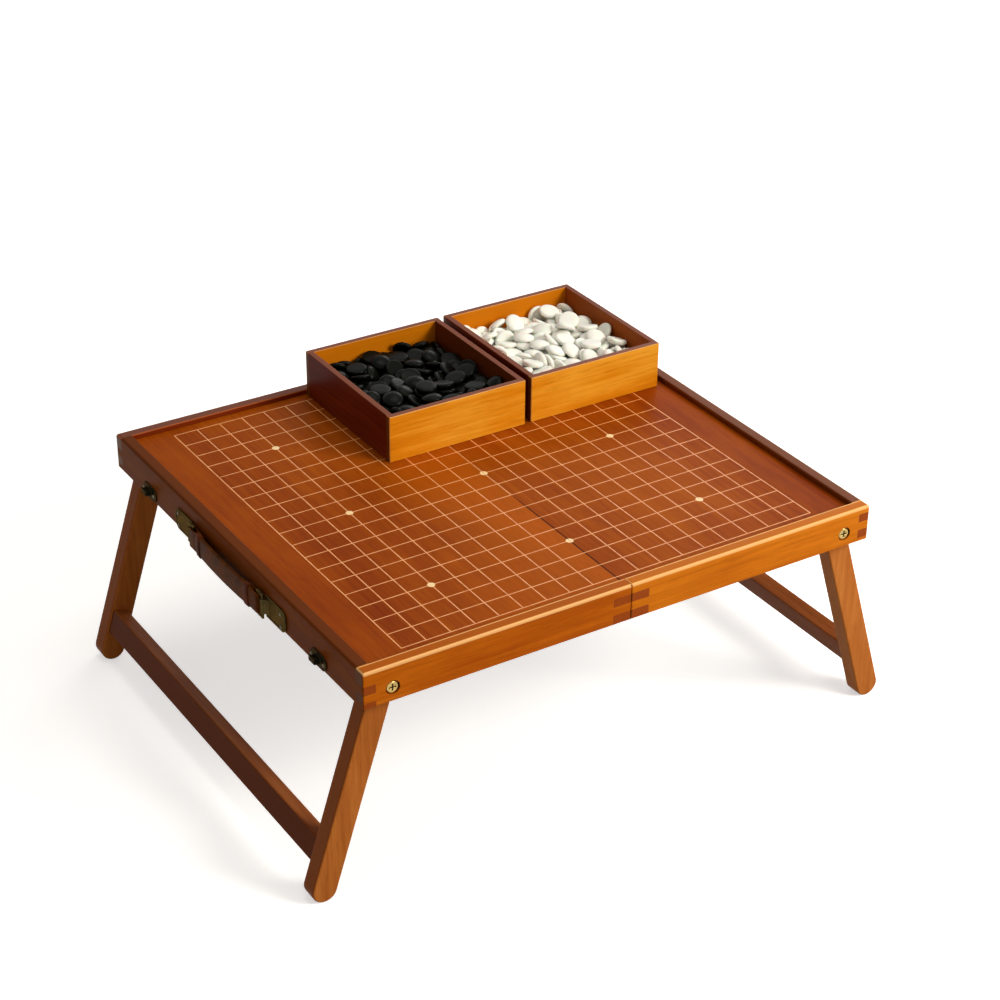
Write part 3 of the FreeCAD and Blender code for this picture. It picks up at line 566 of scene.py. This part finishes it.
def drawer_woods():
    """Amber fronts and backs, umber sides, all with rosy rims, painted highlight lines on
    the fronts and backs and painted light on the sides' inner faces.
    """
    amber = [srgb(196, 106, 4), srgb(224, 138, 18), srgb(244, 172, 52)]
    umber = [srgb(84, 20, 6), srgb(108, 36, 12), srgb(134, 56, 22)]
    rim = (UP, srgb(128, 74, 56))
    # painted highlight lines along the top and left edges of the fronts' outer faces, and
    # along the top of the backs' inner faces
    wood("drawer_front_wood", "x", *amber, end=DUSK, seed=7.7, sheen=0.06,
         faces=[rim], highlight_lines=[(FRONT, HIGHLIGHT_PAINT, 0.75, DRAWER_RIMS)])
    wood("drawer_back_wood", "x", *amber, end=DUSK, seed=9.7, sheen=0.06,
         faces=[rim, (FRONT, srgb(216, 122, 8))],
         highlight_lines=[(FRONT, HIGHLIGHT_PAINT, 0.5, DRAWER_RIMS[:1])])
    # the inner faces of the sides are lighter than their outer faces, painted light;
    # lightest on the white drawer's right wall, painted light thrown back by the white
    # stones
    wood("drawer_left_wood", "y", *umber, seed=9.2, sheen=0.03,
         faces=[rim, (RIGHT, srgb(158, 80, 34))])
    wood("black_drawer_right_wood", "y", *umber, seed=12.2, sheen=0.03,
         faces=[rim, (LEFT, srgb(112, 50, 18))])
    wood("white_drawer_right_wood", "y", *umber, seed=14.2, sheen=0.03,
         faces=[rim, (LEFT, srgb(164, 82, 30))])
    wood("drawer_floor_wood", "x", *amber, seed=1.9, figure=0.7, sheen=0.1)


def other_finishes():
    """Metals, leather, paint and stones."""
    yellow = srgb(190, 162, 98)
    bronze("antique_bronze", srgb(76, 64, 36), srgb(132, 114, 72))
    bronze("dark_bronze", srgb(38, 36, 25), srgb(88, 80, 56), round_off=0.8 * MM)
    brass("bolt_brass", yellow, BOLT_FACE)
    brass("nut_brass", yellow)
    brass("screw_brass", srgb(66, 54, 28))
    brass("pin_steel", srgb(170, 170, 168))
    fibre("washer_fibre", srgb(84, 60, 40))
    leather("strap_leather", srgb(122, 64, 14), srgb(68, 32, 4))
    leather("keeper_leather", srgb(120, 60, 32), srgb(60, 26, 12))
    thread("strap_thread", srgb(86, 52, 34))
    paint("line_paint", srgb(232, 164, 100), srgb(210, 136, 76))
    paint("star_paint", srgb(246, 216, 160), srgb(230, 188, 128))
    stone_glass("white_stone", srgb(244, 244, 236), srgb(236, 236, 226), 0.36, 0.12,
                Subsurface_Weight=0.2, Subsurface_Scale=2.5 * MM)
    stone_glass("black_stone", srgb(13, 14, 8), srgb(4, 5, 3), 0.27, 0.05)


def dress(finish, *nodes):
    """Gives kept CAD nodes their finish."""
    for node in nodes:
        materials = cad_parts[node].data.materials
        materials.clear()
        materials.append(FINISHES[finish])


def dress_all():
    for side in ("right_", "left_"):
        dress(side + "panel_wood", side + "panel")
        dress(side + "front_rail_wood", side + "front_rail")
        dress("back_rail_wood", side + "back_rail")
        dress(side + "end_rail_wood", side + "end_rail", side + "seam_rail")
        dress(side + "leg_wood", side + "front_leg", side + "back_leg")
        dress(side + "crossbar_wood", side + "crossbar")
        dress("bolt_brass", side + "pivot_bolts")
        dress("nut_brass", side + "pivot_nuts")
        dress("washer_fibre", side + "pivot_washers")
        dress("antique_bronze", side + "hinge_leaves")
        dress("screw_brass", side + "hinge_screws")
    dress("antique_bronze", "latch_plates", "handle_plates", "back_latch_tongue",
          "front_latch_tongue", "back_handle_ring", "front_handle_ring")
    dress("dark_bronze", "catch_plates")
    dress("screw_brass", "latch_screws", "catch_screws", "handle_screws")
    dress("pin_steel", "hinge_pins", "latch_pins")
    for drawer in ("black_drawer_", "white_drawer_"):
        dress("drawer_front_wood", drawer + "front")
        dress("drawer_back_wood", drawer + "back")
        dress("drawer_left_wood", drawer + "left_side")
        dress(drawer + "right_wood", drawer + "right_side")
        dress("drawer_floor_wood", drawer + "floor")


# ---- pieces ----

def make_piece(name, points, faces, finish, body, smooth=True):
    """A visible piece that rides on a body and has a material slot."""
    mesh = bpy.data.meshes.new(name)
    mesh.from_pydata([tuple(p) for p in points], [], faces)
    mesh.validate()
    mesh.update()
    obj = bpy.data.objects.new(name, mesh)
    bpy.context.scene.collection.objects.link(obj)
    mesh.materials.append(FINISHES[finish])
    mesh.polygons.foreach_set("use_smooth", [smooth] * len(mesh.polygons))
    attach(obj, body)
    return obj


def slab_cells(xs, ys, filled, low, high):
    """A flat closed solid of grid cells between sorted breaks in X and Y."""
    points, index, faces = [], {}, []

    def corner(i, j, up):
        key = (i, j, up)
        if key not in index:
            index[key] = len(points)
            points.append((xs[i], ys[j], high if up else low))
        return index[key]

    def solid(i, j):
        inside = 0 <= i < len(xs) - 1 and 0 <= j < len(ys) - 1
        return inside and filled(i, j)

    for i in range(len(xs) - 1):
        for j in range(len(ys) - 1):
            if not solid(i, j):
                continue
            a, b = (i, j), (i + 1, j)
            c, d = (i + 1, j + 1), (i, j + 1)
            faces.append([corner(*p, True) for p in (a, b, c, d)])
            faces.append([corner(*p, False) for p in (d, c, b, a)])
            for p, q, beside in ((a, b, (i, j - 1)), (b, c, (i + 1, j)),
                                 (c, d, (i, j + 1)), (d, a, (i - 1, j))):
                if not solid(*beside):
                    faces.append([corner(*p, False), corner(*q, False),
                                  corner(*q, True), corner(*p, True)])
    return points, faces


def grid_lines(side, body):
    """The printed lines on one half, with its half of the middle line."""
    half = (GRID_LINES - 1) // 2
    w = LINE_W / 2
    xs = [SEAM_X, SEAM_X + w]
    xs += [k * PITCH_X + s * w for k in range(1, half + 1) for s in (-1, 1)]
    ys = [k * PITCH_Y + s * w for k in range(-half, half + 1) for s in (-1, 1)]
    seam_cell = 0
    if side == "left":
        xs = [-x for x in reversed(xs)]
        seam_cell = len(xs) - 2

    def filled(i, j):
        worn = i == seam_cell and ys[j] < SEAM_WORN_Y
        return (i % 2 == 0 and not worn) or j % 2 == 0

    points, faces = slab_cells(xs, ys, filled, PANEL_TOP - LINE_DEEP,
                               PANEL_TOP + LINE_UP)
    make_piece(side + "_grid_lines", points, faces, "line_paint", body,
               smooth=False)


def star_outline(i, y, sign):
    """A round mark, or a half disc where the seam cuts it."""
    if i == 0:
        turns = [math.pi * (k / STAR_STEPS - 0.5) for k in range(STAR_STEPS + 1)]
        ring = [(sign * max(SEAM_X, STAR_R * math.cos(t)), y + STAR_R * math.sin(t))
                for t in turns]
        return ring[::sign]
    turns = [math.tau * k / STAR_STEPS for k in range(STAR_STEPS)]
    return [(i * PITCH_X + STAR_R * math.cos(t), y + STAR_R * math.sin(t))
            for t in turns]


def star_points(side, body):
    """The round marks on one half."""
    sign = 1 if side == "right" else -1
    points, faces = [], []
    for i in STAR_LINES:
        for j in STAR_LINES:
            if i * sign < 0:
                continue
            ring = star_outline(i, j * PITCH_Y, sign)
            first, n = len(points), len(ring)
            points += [(px, py, PANEL_TOP - LINE_DEEP) for px, py in ring]
            points += [(px, py, PANEL_TOP + STAR_UP) for px, py in ring]
            faces.append(list(range(first + n - 1, first - 1, -1)))
            faces.append(list(range(first + n, first + 2 * n)))
            for k in range(n):
                m = (k + 1) % n
                faces.append([first + k, first + m, first + n + m, first + n + k])
    make_piece(side + "_star_points", points, faces, "star_paint", body,
               smooth=False)


# ---- stones ----

def pebble(segments, dome, under):
    """Points and faces of one stone: flat below, a round rim, domed above."""
    h = STONE_T / 2
    rim = (2 * STONE_RIM - 1) * h
    base = STONE_R * STONE_BASE
    lane = []
    for k in range(1, dome + 1):
        turn = math.pi / 2 * k / dome
        lane.append((STONE_R * math.sin(turn) ** STONE_SHOULDER,
                     rim + (h - rim) * math.cos(turn)))
    for k in range(1, under + 1):
        turn = math.pi / 2 * k / under
        lane.append((base + (STONE_R - base) * math.cos(turn),
                     rim - (rim + h) * math.sin(turn)))
    lane.append((base / 2, -h))
    points, faces = [(0.0, 0.0, h)], []
    for radius, height in lane:
        for k in range(segments):
            around = math.tau * k / segments
            points.append((radius * math.cos(around), radius * math.sin(around),
                           height))
    points.append((0.0, 0.0, -h))
    last = len(points) - 1
    for k in range(segments):
        m = (k + 1) % segments
        faces.append([0, 1 + k, 1 + m])
        for ring in range(len(lane) - 1):
            a = 1 + ring * segments
            b = a + segments
            faces.append([a + k, b + k, b + m, a + m])
        a = 1 + (len(lane) - 1) * segments
        faces.append([a + k, last, a + m])
    return points, faces


class Heap:
    """Stones dropped into both drawers by a rigid body run, then frozen."""

    UNIT = 100.0           # the run works in centimetres
    GRAVITY = -150.0
    FRAMES = 84
    SUBSTEPS = 12
    ITERATIONS = 24
    MARGIN = 0.012
    FRICTION = 0.3
    BOUNCE = 0.05
    DAMPING = 0.08
    TURN_DAMPING = 0.15
    WALL = 2.0             # thickness of the helper walls
    TALL = 30.0            # and their height
    SPOTS_X, SPOTS_Y = 4, 4
    SPREAD = 2.2           # between falling stones
    RISE = 1.75            # between their layers
    START = 1.2            # first layer above the floor
    JITTER = 0.12
    TILT = 1.1             # radians, at most
    SEEDS = {"black": 31, "white": 32}

    def __init__(self):
        self.scene = bpy.context.scene
        self.helpers = []
        self.stones = {}

    def link(self, name, points, faces):
        mesh = bpy.data.meshes.new(name)
        mesh.from_pydata(points, [], faces)
        obj = bpy.data.objects.new(name, mesh)
        self.scene.collection.objects.link(obj)
        self.helpers.append(obj)
        return obj

    def block(self, low, high):
        xs, ys, zs = zip(low, high)
        points = [(x, y, z) for x in xs for y in ys for z in zs]
        faces = [(0, 1, 3, 2), (4, 6, 7, 5), (0, 4, 5, 1), (2, 3, 7, 6),
                 (0, 2, 6, 4), (1, 5, 7, 3)]
        return self.link("heap_wall", points, faces)

    def body(self, obj, kind, shape):
        with bpy.context.temp_override(object=obj, active_object=obj,
                                       selected_objects=[obj],
                                       selected_editable_objects=[obj]):
            bpy.ops.rigidbody.object_add(type=kind)
        rigid = obj.rigid_body
        rigid.collision_shape = shape
        rigid.use_margin = True
        rigid.collision_margin = self.MARGIN
        rigid.friction = self.FRICTION
        rigid.restitution = self.BOUNCE
        rigid.linear_damping = self.DAMPING
        rigid.angular_damping = self.TURN_DAMPING
        return rigid

    def tray(self, low, high):
        """Floor and four tall walls round a drawer's inside."""
        w, top = self.WALL, low[2] + self.TALL
        x0, y0, z0 = low
        x1, y1, _ = high
        for a, b in (((x0 - w, y0 - w, z0 - w), (x1 + w, y1 + w, z0)),
                     ((x0 - w, y0 - w, z0), (x0, y1 + w, top)),
                     ((x1, y0 - w, z0), (x1 + w, y1 + w, top)),
                     ((x0, y0 - w, z0), (x1, y0, top)),
                     ((x0, y1, z0), (x1, y1 + w, top))):
            self.body(self.block(a, b), "PASSIVE", "MESH")

    def drop(self, colour, low, high):
        """Layers of tilted stones above a drawer, ready to fall."""
        rng = random.Random(self.SEEDS[colour])
        points, faces = pebble(12, 3, 2)
        points = [Vector(p) * self.UNIT for p in points]
        middle = (low + high) / 2
        self.stones[colour] = []
        for k in range(STONE_COUNTS[colour]):
            layer, spot = divmod(k, self.SPOTS_X * self.SPOTS_Y)
            j, i = divmod(spot, self.SPOTS_X)
            obj = self.link("heap_stone", points, faces)
            obj.location = (
                middle.x + (i - (self.SPOTS_X - 1) / 2) * self.SPREAD
                + rng.uniform(-self.JITTER, self.JITTER),
                middle.y + (j - (self.SPOTS_Y - 1) / 2) * self.SPREAD
                + rng.uniform(-self.JITTER, self.JITTER),
                low.z + self.START + layer * self.RISE)
            obj.rotation_euler = Euler((rng.uniform(-self.TILT, self.TILT)
                                        + math.pi * rng.randrange(2),
                                        rng.uniform(-self.TILT, self.TILT),
                                        rng.uniform(0, math.tau)))
            self.body(obj, "ACTIVE", "CONVEX_HULL").mass = 1.0
            self.stones[colour].append(obj)

    def run(self):
        """Steps the run and returns {colour: [(place, turn)]} in metres."""
        world = self.scene.rigidbody_world
        world.substeps_per_frame = self.SUBSTEPS
        world.solver_iterations = self.ITERATIONS
        world.point_cache.frame_end = self.FRAMES
        old = self.scene.gravity.copy()
        self.scene.gravity = (0, 0, self.GRAVITY)
        for step in range(1, self.FRAMES + 1):
            self.scene.frame_set(step)
        graph = bpy.context.evaluated_depsgraph_get()
        found = {}
        for colour, stones in self.stones.items():
            found[colour] = []
            for obj in stones:
                place, turn, _ = obj.evaluated_get(graph).matrix_world.decompose()
                found[colour].append((place / self.UNIT, turn))
        self.scene.gravity = old
        bpy.ops.rigidbody.world_remove()
        for obj in self.helpers:
            mesh = obj.data
            bpy.data.objects.remove(obj)
            bpy.data.meshes.remove(mesh)
        self.scene.frame_set(1)
        return found


def heap_rooms():
    """The inside of each drawer: {colour: (low corner, high corner)}."""
    rooms = {}
    for colour in STONE_COUNTS:
        low = Vector((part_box(colour + "_drawer_left_side")[1].x,
                      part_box(colour + "_drawer_front")[1].y,
                      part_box(colour + "_drawer_floor")[1].z))
        high = Vector((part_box(colour + "_drawer_right_side")[0].x,
                       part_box(colour + "_drawer_back")[0].y,
                       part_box(colour + "_drawer_front")[1].z))
        rooms[colour] = (low, high)
    return rooms


def settle_stones():
    """Where each stone lies: {colour: [(place, turn)]}."""
    rooms = heap_rooms()
    bpy.ops.rigidbody.world_add()
    heap = Heap()
    for colour, (low, high) in rooms.items():
        low_cm, high_cm = low * heap.UNIT, high * heap.UNIT
        heap.tray(low_cm, high_cm)
        heap.drop(colour, low_cm, high_cm)
    return heap.run()


def stone_piece(colour, places):
    """All stones of one colour as one piece, each with its own tone."""
    shape, shape_faces = pebble(30, 7, 4)
    rng = random.Random(colour)
    points, faces, tones = [], [], []
    for place, turn in places:
        first = len(points)
        points += [turn @ Vector(p) + place for p in shape]
        faces += [[first + i for i in face] for face in shape_faces]
        tones += [rng.random()] * len(shape)
    obj = make_piece(colour + "_stone_heap", points, faces, colour + "_stone",
                     colour + "_drawer")
    tone = obj.data.attributes.new("tone", "FLOAT", "POINT")
    tone.data.foreach_set("value", tones)
    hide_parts(colour + "_stones")


# ---- the skins ----

def oblong(half_x, half_z, steps=32, dome=0.0):
    """A rounded rectangle in X and Z; the -X face can bulge by dome."""
    power = 5.0            # the higher, the squarer
    ring = []
    for k in range(steps):
        t = math.tau * k / steps
        c, s = math.cos(t), math.sin(t)
        r = (abs(c) ** power + abs(s) ** power) ** (-1 / power)
        x, z = c * r, s * r
        push = dome * (z * z - 0.3) if x < 0 else 0.0
        ring.append((x * half_x + push, z * half_z))
    return ring


def loft(sections):
    """A closed skin over rings of points with the same count."""
    n = len(sections[0])
    points = [p for ring in sections for p in ring]
    faces = []
    for s in range(len(sections) - 1):
        for k in range(n):
            m = (k + 1) % n
            faces.append([s * n + k, s * n + m, (s + 1) * n + m, (s + 1) * n + k])
    faces.append(list(range(n - 1, -1, -1)))
    faces.append(list(range(len(points) - n, len(points))))
    return points, faces


def loft_piece(name, sections, turned, finish, body):
    """A piece lofted over sections, whose order is turned round if asked."""
    points, faces = loft(sections[::-1] if turned else sections)
    return make_piece(name, points, faces, finish, body)


def along_lane(lane):
    """Each point of a flat lane with the unit direction square to it."""
    for k, (a, b) in enumerate(lane):
        before, after = lane[max(k - 1, 0)], lane[min(k + 1, len(lane) - 1)]
        along = Vector((after[0] - before[0], after[1] - before[1])).normalized()
        yield a, b, Vector((-along.y, along.x))


# ---- handle strap ----

RING_WIRE_R = 1.0 * MM
RING_PLAY = 0.5 * MM          # between the ring's wire and the leather
LOOP_T = 1.7 * MM
LOOP_HALF_W = 9.0 * MM
LOOP_PAST = 2.07 * MM         # the fold reaches this far past the wire and play
LOOP_L = 11.5 * MM            # from the strap's end to the end of the fold
LOOP_END = RING_LOW.y + RING_WIRE_R + RING_PLAY + LOOP_T + LOOP_PAST
STRAP_END = LOOP_END - LOOP_L
STRAP_HALF_W = 10.0 * MM
STRAP_T = 3.6 * MM
STRAP_BOW = 1.8 * MM          # the middle stands out this much more
STRAP_BULGE = 0.55 * MM
STRAP_STATIONS = 44
STRAP_LIP = 1.2 * MM          # a thinner lip at each end
STRAP_SLIM_FROM = 0.9         # share of the length where it begins to narrow
STRAP_SLIM = 0.09             # share of the width lost at the end
KEEPER_IN = 7.0 * MM          # keeper's middle from the strap's end
KEEPER_SHAPE = ((-3.6, 0.0), (-3.5, 0.4), (-3.0, 0.7),     # along the strap, and
                (3.0, 0.7), (3.5, 0.4), (3.6, 0.0))        # out of it, millimetres
KEEPER_BULGE = 0.3 * MM
STITCH_PITCH = 3.1 * MM
STITCH_L = 2.1 * MM
STITCH_R = 0.32 * MM
STITCH_IN = 1.7 * MM          # rows from the strap's long edges
STITCH_SINK = 0.42 * MM       # into the bulged face
END_ROWS = (-1.0 * MM, 1.6 * MM)    # rows across, from the strap's end
END_SINK = 0.02 * MM
SIDES = ((1, "back"), (-1, "front"))


def strap_outer_x(y):
    """X of the strap's outer face at a place along it."""
    ends = RING_X - (RING_WIRE_R + RING_PLAY) - LOOP_T
    return ends - STRAP_BOW * (1 - (y / STRAP_END) ** 2)


def strap():
    """The bowed strap with its bulged face."""
    sections = []
    for k in range(STRAP_STATIONS + 1):
        y = (2 * k / STRAP_STATIONS - 1) * (STRAP_END + STRAP_LIP)
        near = min(1.0, abs(y) / STRAP_END)
        slim = 1.0 - STRAP_SLIM * max(0.0, (near - STRAP_SLIM_FROM)
                                      / (1.0 - STRAP_SLIM_FROM))
        thin = 1.0 if abs(y) < STRAP_END else 0.7
        outer = strap_outer_x(min(abs(y), STRAP_END))
        ring = oblong(STRAP_T / 2 * thin, STRAP_HALF_W * slim, dome=STRAP_BULGE)
        sections.append([(outer + STRAP_T / 2 + x, y, HANDLE_Z + z) for x, z in ring])
    piece = loft_piece("handle_strap_leather", sections, False, "strap_leather",
                       "handle_strap")
    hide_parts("handle_strap")


def loop_lane():
    """The middle of the folded loop in X and Y, from outside to inside."""
    out_x = strap_outer_x(STRAP_END) + LOOP_T / 2
    in_x = 2 * RING_X - out_x
    bend = (in_x - out_x) / 2
    bend_y = LOOP_END - LOOP_T / 2 - bend
    lane = [(out_x, STRAP_END - 7 * MM), (out_x, STRAP_END - 3 * MM),
            (out_x, STRAP_END + 2 * MM), (out_x, bend_y)]
    lane += [(RING_X - bend * math.cos(math.pi * k / 12),
              bend_y + bend * math.sin(math.pi * k / 12)) for k in range(1, 12)]
    lane += [(in_x, bend_y), (in_x - 0.3 * MM, bend_y - 3 * MM),
             (in_x - 0.9 * MM, STRAP_END + 1 * MM),
             (in_x - 1.05 * MM, STRAP_END - 3 * MM),
             (in_x - 1.05 * MM, STRAP_END - 9 * MM)]
    return lane


def strap_loops():
    """A fold of leather round each ring."""
    ring = oblong(LOOP_T / 2, LOOP_HALF_W, steps=24)
    for sign, name in SIDES:
        sections = [[(x + side.x * a, sign * (y + side.y * a), HANDLE_Z + z)
                     for a, z in ring] for x, y, side in along_lane(loop_lane())]
        loft_piece(name + "_strap_loop", sections, sign > 0, "strap_leather",
                   "handle_strap")


def keepers():
    """A narrow leather band round each end of the strap."""
    for sign, name in SIDES:
        sections = []
        for along, out in KEEPER_SHAPE:
            place = STRAP_END - KEEPER_IN + along * MM
            centre = strap_outer_x(place) + STRAP_T / 2
            ring = oblong(STRAP_T / 2 + (0.1 + out) * MM,
                          STRAP_HALF_W + (out - 0.1) * MM, dome=KEEPER_BULGE)
            sections.append([(centre + x, sign * place, HANDLE_Z + z)
                             for x, z in ring])
        loft_piece(name + "_strap_keeper", sections, sign < 0, "keeper_leather",
                   "handle_strap")


def stitch(centre, along, out):
    """One raised stitch, a flattened bead with its ends sunk in the leather."""
    rings, around = 7, 8
    side = out.cross(along).normalized()
    sections = []
    for k in range(rings):
        t = 2 * k / (rings - 1) - 1
        lift = (1 - t * t) * STITCH_R * 0.9 - STITCH_R * 0.5
        radius = STITCH_R * math.sqrt(max(0.12, 1 - t * t * 0.8))
        middle = centre + along * (t * STITCH_L / 2) + out * lift
        sections.append([middle + (side * math.cos(a) + out * math.sin(a)) * radius
                         for a in (math.tau * m / around for m in range(around))])
    return loft(sections)


def stitches():
    """Rows along both long edges and two rows across each end."""
    points, faces = [], []

    def add(x, y, z, along):
        more, more_faces = stitch(Vector((x, y, HANDLE_Z + z)), Vector(along),
                                  Vector(LEFT))
        first = len(points)
        points.extend(more)
        faces.extend([[first + i for i in face] for face in more_faces])

    count = int(2 * (STRAP_END - 4 * MM) / STITCH_PITCH)
    for up in (-1, 1):
        for k in range(count):
            y = (k - (count - 1) / 2) * STITCH_PITCH
            add(strap_outer_x(y) + STITCH_SINK, y, up * (STRAP_HALF_W - STITCH_IN),
                BACK)
    for sign in (-1, 1):
        for row in END_ROWS:
            for k in range(-2, 3):
                add(strap_outer_x(STRAP_END) + END_SINK, sign * (STRAP_END + row),
                    k * STITCH_PITCH, UP)
    make_piece("handle_strap_stitching", points, faces, "strap_thread", "handle_strap")


# ---- handle plates ----

PLATE_T = 1.5 * MM
BEAD_IN = 1.7 * MM            # from the plate's edge
BEAD_CORNER = 5.3 * MM
BEAD_R = 0.55 * MM
BEAD_HEIGHT = 0.8             # share of its radius
BEAD_START = 3.0 * MM         # from the ring
BEAD_STEPS = 8                # round a corner and round the bead


def bead_lane(far_y, top):
    """Y and height of the bead's middle, from the upper end to the lower."""
    lane = [(RING_HIGH.y + BEAD_START, top), (far_y - BEAD_CORNER, top)]
    for k in range(1, BEAD_STEPS + 1):
        turn = math.pi / 2 * k / BEAD_STEPS
        lane.append((far_y - BEAD_CORNER + BEAD_CORNER * math.sin(turn),
                     top - BEAD_CORNER + BEAD_CORNER * math.cos(turn)))
    return lane + [(y, -z) for y, z in reversed(lane)]


def plate_beads():
    """A raised bead round three sides of each handle plate."""
    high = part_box("handle_plates")[1]
    lane = bead_lane(high.y - BEAD_IN, high.z - BEAD_IN - HANDLE_Z)
    for sign, name in SIDES:
        sections = []
        for y, z, side in along_lane(lane):
            ring = []
            for m in range(BEAD_STEPS):
                turn = math.tau * m / BEAD_STEPS
                off, out = BEAD_R * math.cos(turn), BEAD_R * math.sin(turn)
                ring.append((-CASE_END - PLATE_T - out * BEAD_HEIGHT,
                             sign * (y + side.x * off), HANDLE_Z + z + side.y * off))
            sections.append(ring)
        loft_piece(name + "_plate_bead", sections, sign < 0, "antique_bronze", "left_half")


# ---- stage, view ----

CAMERA_PLACE = (-0.92521, -1.47371, 1.17170)
CAMERA_TARGET = (0.04032, 0.03652, 0.150)
CAMERA_ROLL = 0.671           # degrees
CAMERA_LENS = 83.12           # millimetres
CAMERA_SENSOR = 36.0

WHITE = (1.0, 1.0, 1.0)
WARM = (1.0, 0.965, 0.90)
LIGHT_AIM = (0.0, 0.0, 0.17)
# name, place, watts, width and height, colour
LIGHTS = (("key", (1.25, -1.70, 1.40), 50, (0.9, 0.9), WARM),
          ("top", (0.3, 0.1, 2.3), 16, (1.4, 1.2), WARM),
          ("rim", (1.7, 1.5, 1.3), 8, (0.9, 0.9), WHITE),
          ("fill", (-1.9, -0.5, 1.0), 3, (1.2, 1.2), WARM))

FLOOR_HALF = 6.0
FLOOR_SEEN = (0.9, 0.9, 0.9, 1.0)
FLOOR_UNSEEN = (0.30, 0.285, 0.26, 1.0)
FLOOR_GLOW = 0.55             # near the table; far away the glow is 1
GLOW_FROM, GLOW_TO = 0.9, 2.4
WORLD_UNSEEN = (1.0, 0.94, 0.84, 1.0)
WORLD_REACH = 0.9
WORLD_LEFT, WORLD_RIGHT = 0.15, 0.30


def add_camera():
    data = bpy.data.cameras.new("camera")
    data.lens = CAMERA_LENS
    data.sensor_width = CAMERA_SENSOR
    camera = bpy.data.objects.new("camera", data)
    place, target = Vector(CAMERA_PLACE), Vector(CAMERA_TARGET)
    turn = (target - place).to_track_quat("-Z", "Y")
    roll = Quaternion((0, 0, 1), math.radians(CAMERA_ROLL))
    camera.matrix_world = Matrix.Translation(place) @ (turn @ roll).to_matrix().to_4x4()
    bpy.context.scene.collection.objects.link(camera)
    bpy.context.scene.camera = camera


def add_light(name, place, power, size, colour):
    data = bpy.data.lights.new(name, "AREA")
    data.shape = "RECTANGLE"
    data.size, data.size_y = size
    data.energy = power
    data.color = colour
    lamp = bpy.data.objects.new(name, data)
    lamp.location = place
    turn = (Vector(LIGHT_AIM) - Vector(place)).to_track_quat("-Z", "Y")
    lamp.rotation_euler = turn.to_euler()
    bpy.context.scene.collection.objects.link(lamp)


def add_floor():
    """White paper to the eye that throws little light back up."""
    h = FLOOR_HALF
    mesh = bpy.data.meshes.new("studio_floor")
    mesh.from_pydata([(-h, -h, 0), (h, -h, 0), (h, h, 0), (-h, h, 0)], [],
                     [(0, 1, 2, 3)])
    floor = bpy.data.objects.new("studio_floor", mesh)
    bpy.context.scene.collection.objects.link(floor)
    g = finish_graph("floor_paper")
    seen = g.seen()
    far = g.mask(g.vector("LENGTH", g.coords.outputs["Object"]), GLOW_FROM, GLOW_TO)
    glow = g.plus(g.times(far, 1.0 - FLOOR_GLOW), FLOOR_GLOW)
    g.shade(Base_Color=g.mix(seen, FLOOR_UNSEEN, FLOOR_SEEN), Roughness=0.9,
            Specular_IOR_Level=0.0, Emission_Color=(*WHITE, 1.0),
            Emission_Strength=g.times(seen, glow))
    mesh.materials.append(FINISHES["floor_paper"])


def add_world():
    """White to the eye, and as a light warm, soft and dimmer on the left."""
    world = bpy.data.worlds.new("studio")
    bpy.context.scene.world = world
    g = Graph(world)
    background = g.tree.nodes["Background"]
    seen = g.seen()
    light = g.spread(g.parts("Generated")[0], -WORLD_REACH, WORLD_REACH, WORLD_LEFT,
                     WORLD_RIGHT)
    g.put(background.inputs["Color"], g.mix(seen, WORLD_UNSEEN, (*WHITE, 1.0)))
    g.put(background.inputs["Strength"], g.mix_numbers(seen, light, 1.0))


# ---- main ----

add_camera()
board_and_leg_woods()
rail_woods()
drawer_woods()
other_finishes()
dress_all()
for side in ("right", "left"):
    grid_lines(side, side + "_half")
    star_points(side, side + "_half")
for colour, places in settle_stones().items():
    stone_piece(colour, places)
strap()
strap_loops()
keepers()
stitches()
plate_beads()
add_world()
add_floor()
for light in LIGHTS:
    add_light(*light)

bpy.context.scene.view_settings.view_transform = "Standard"
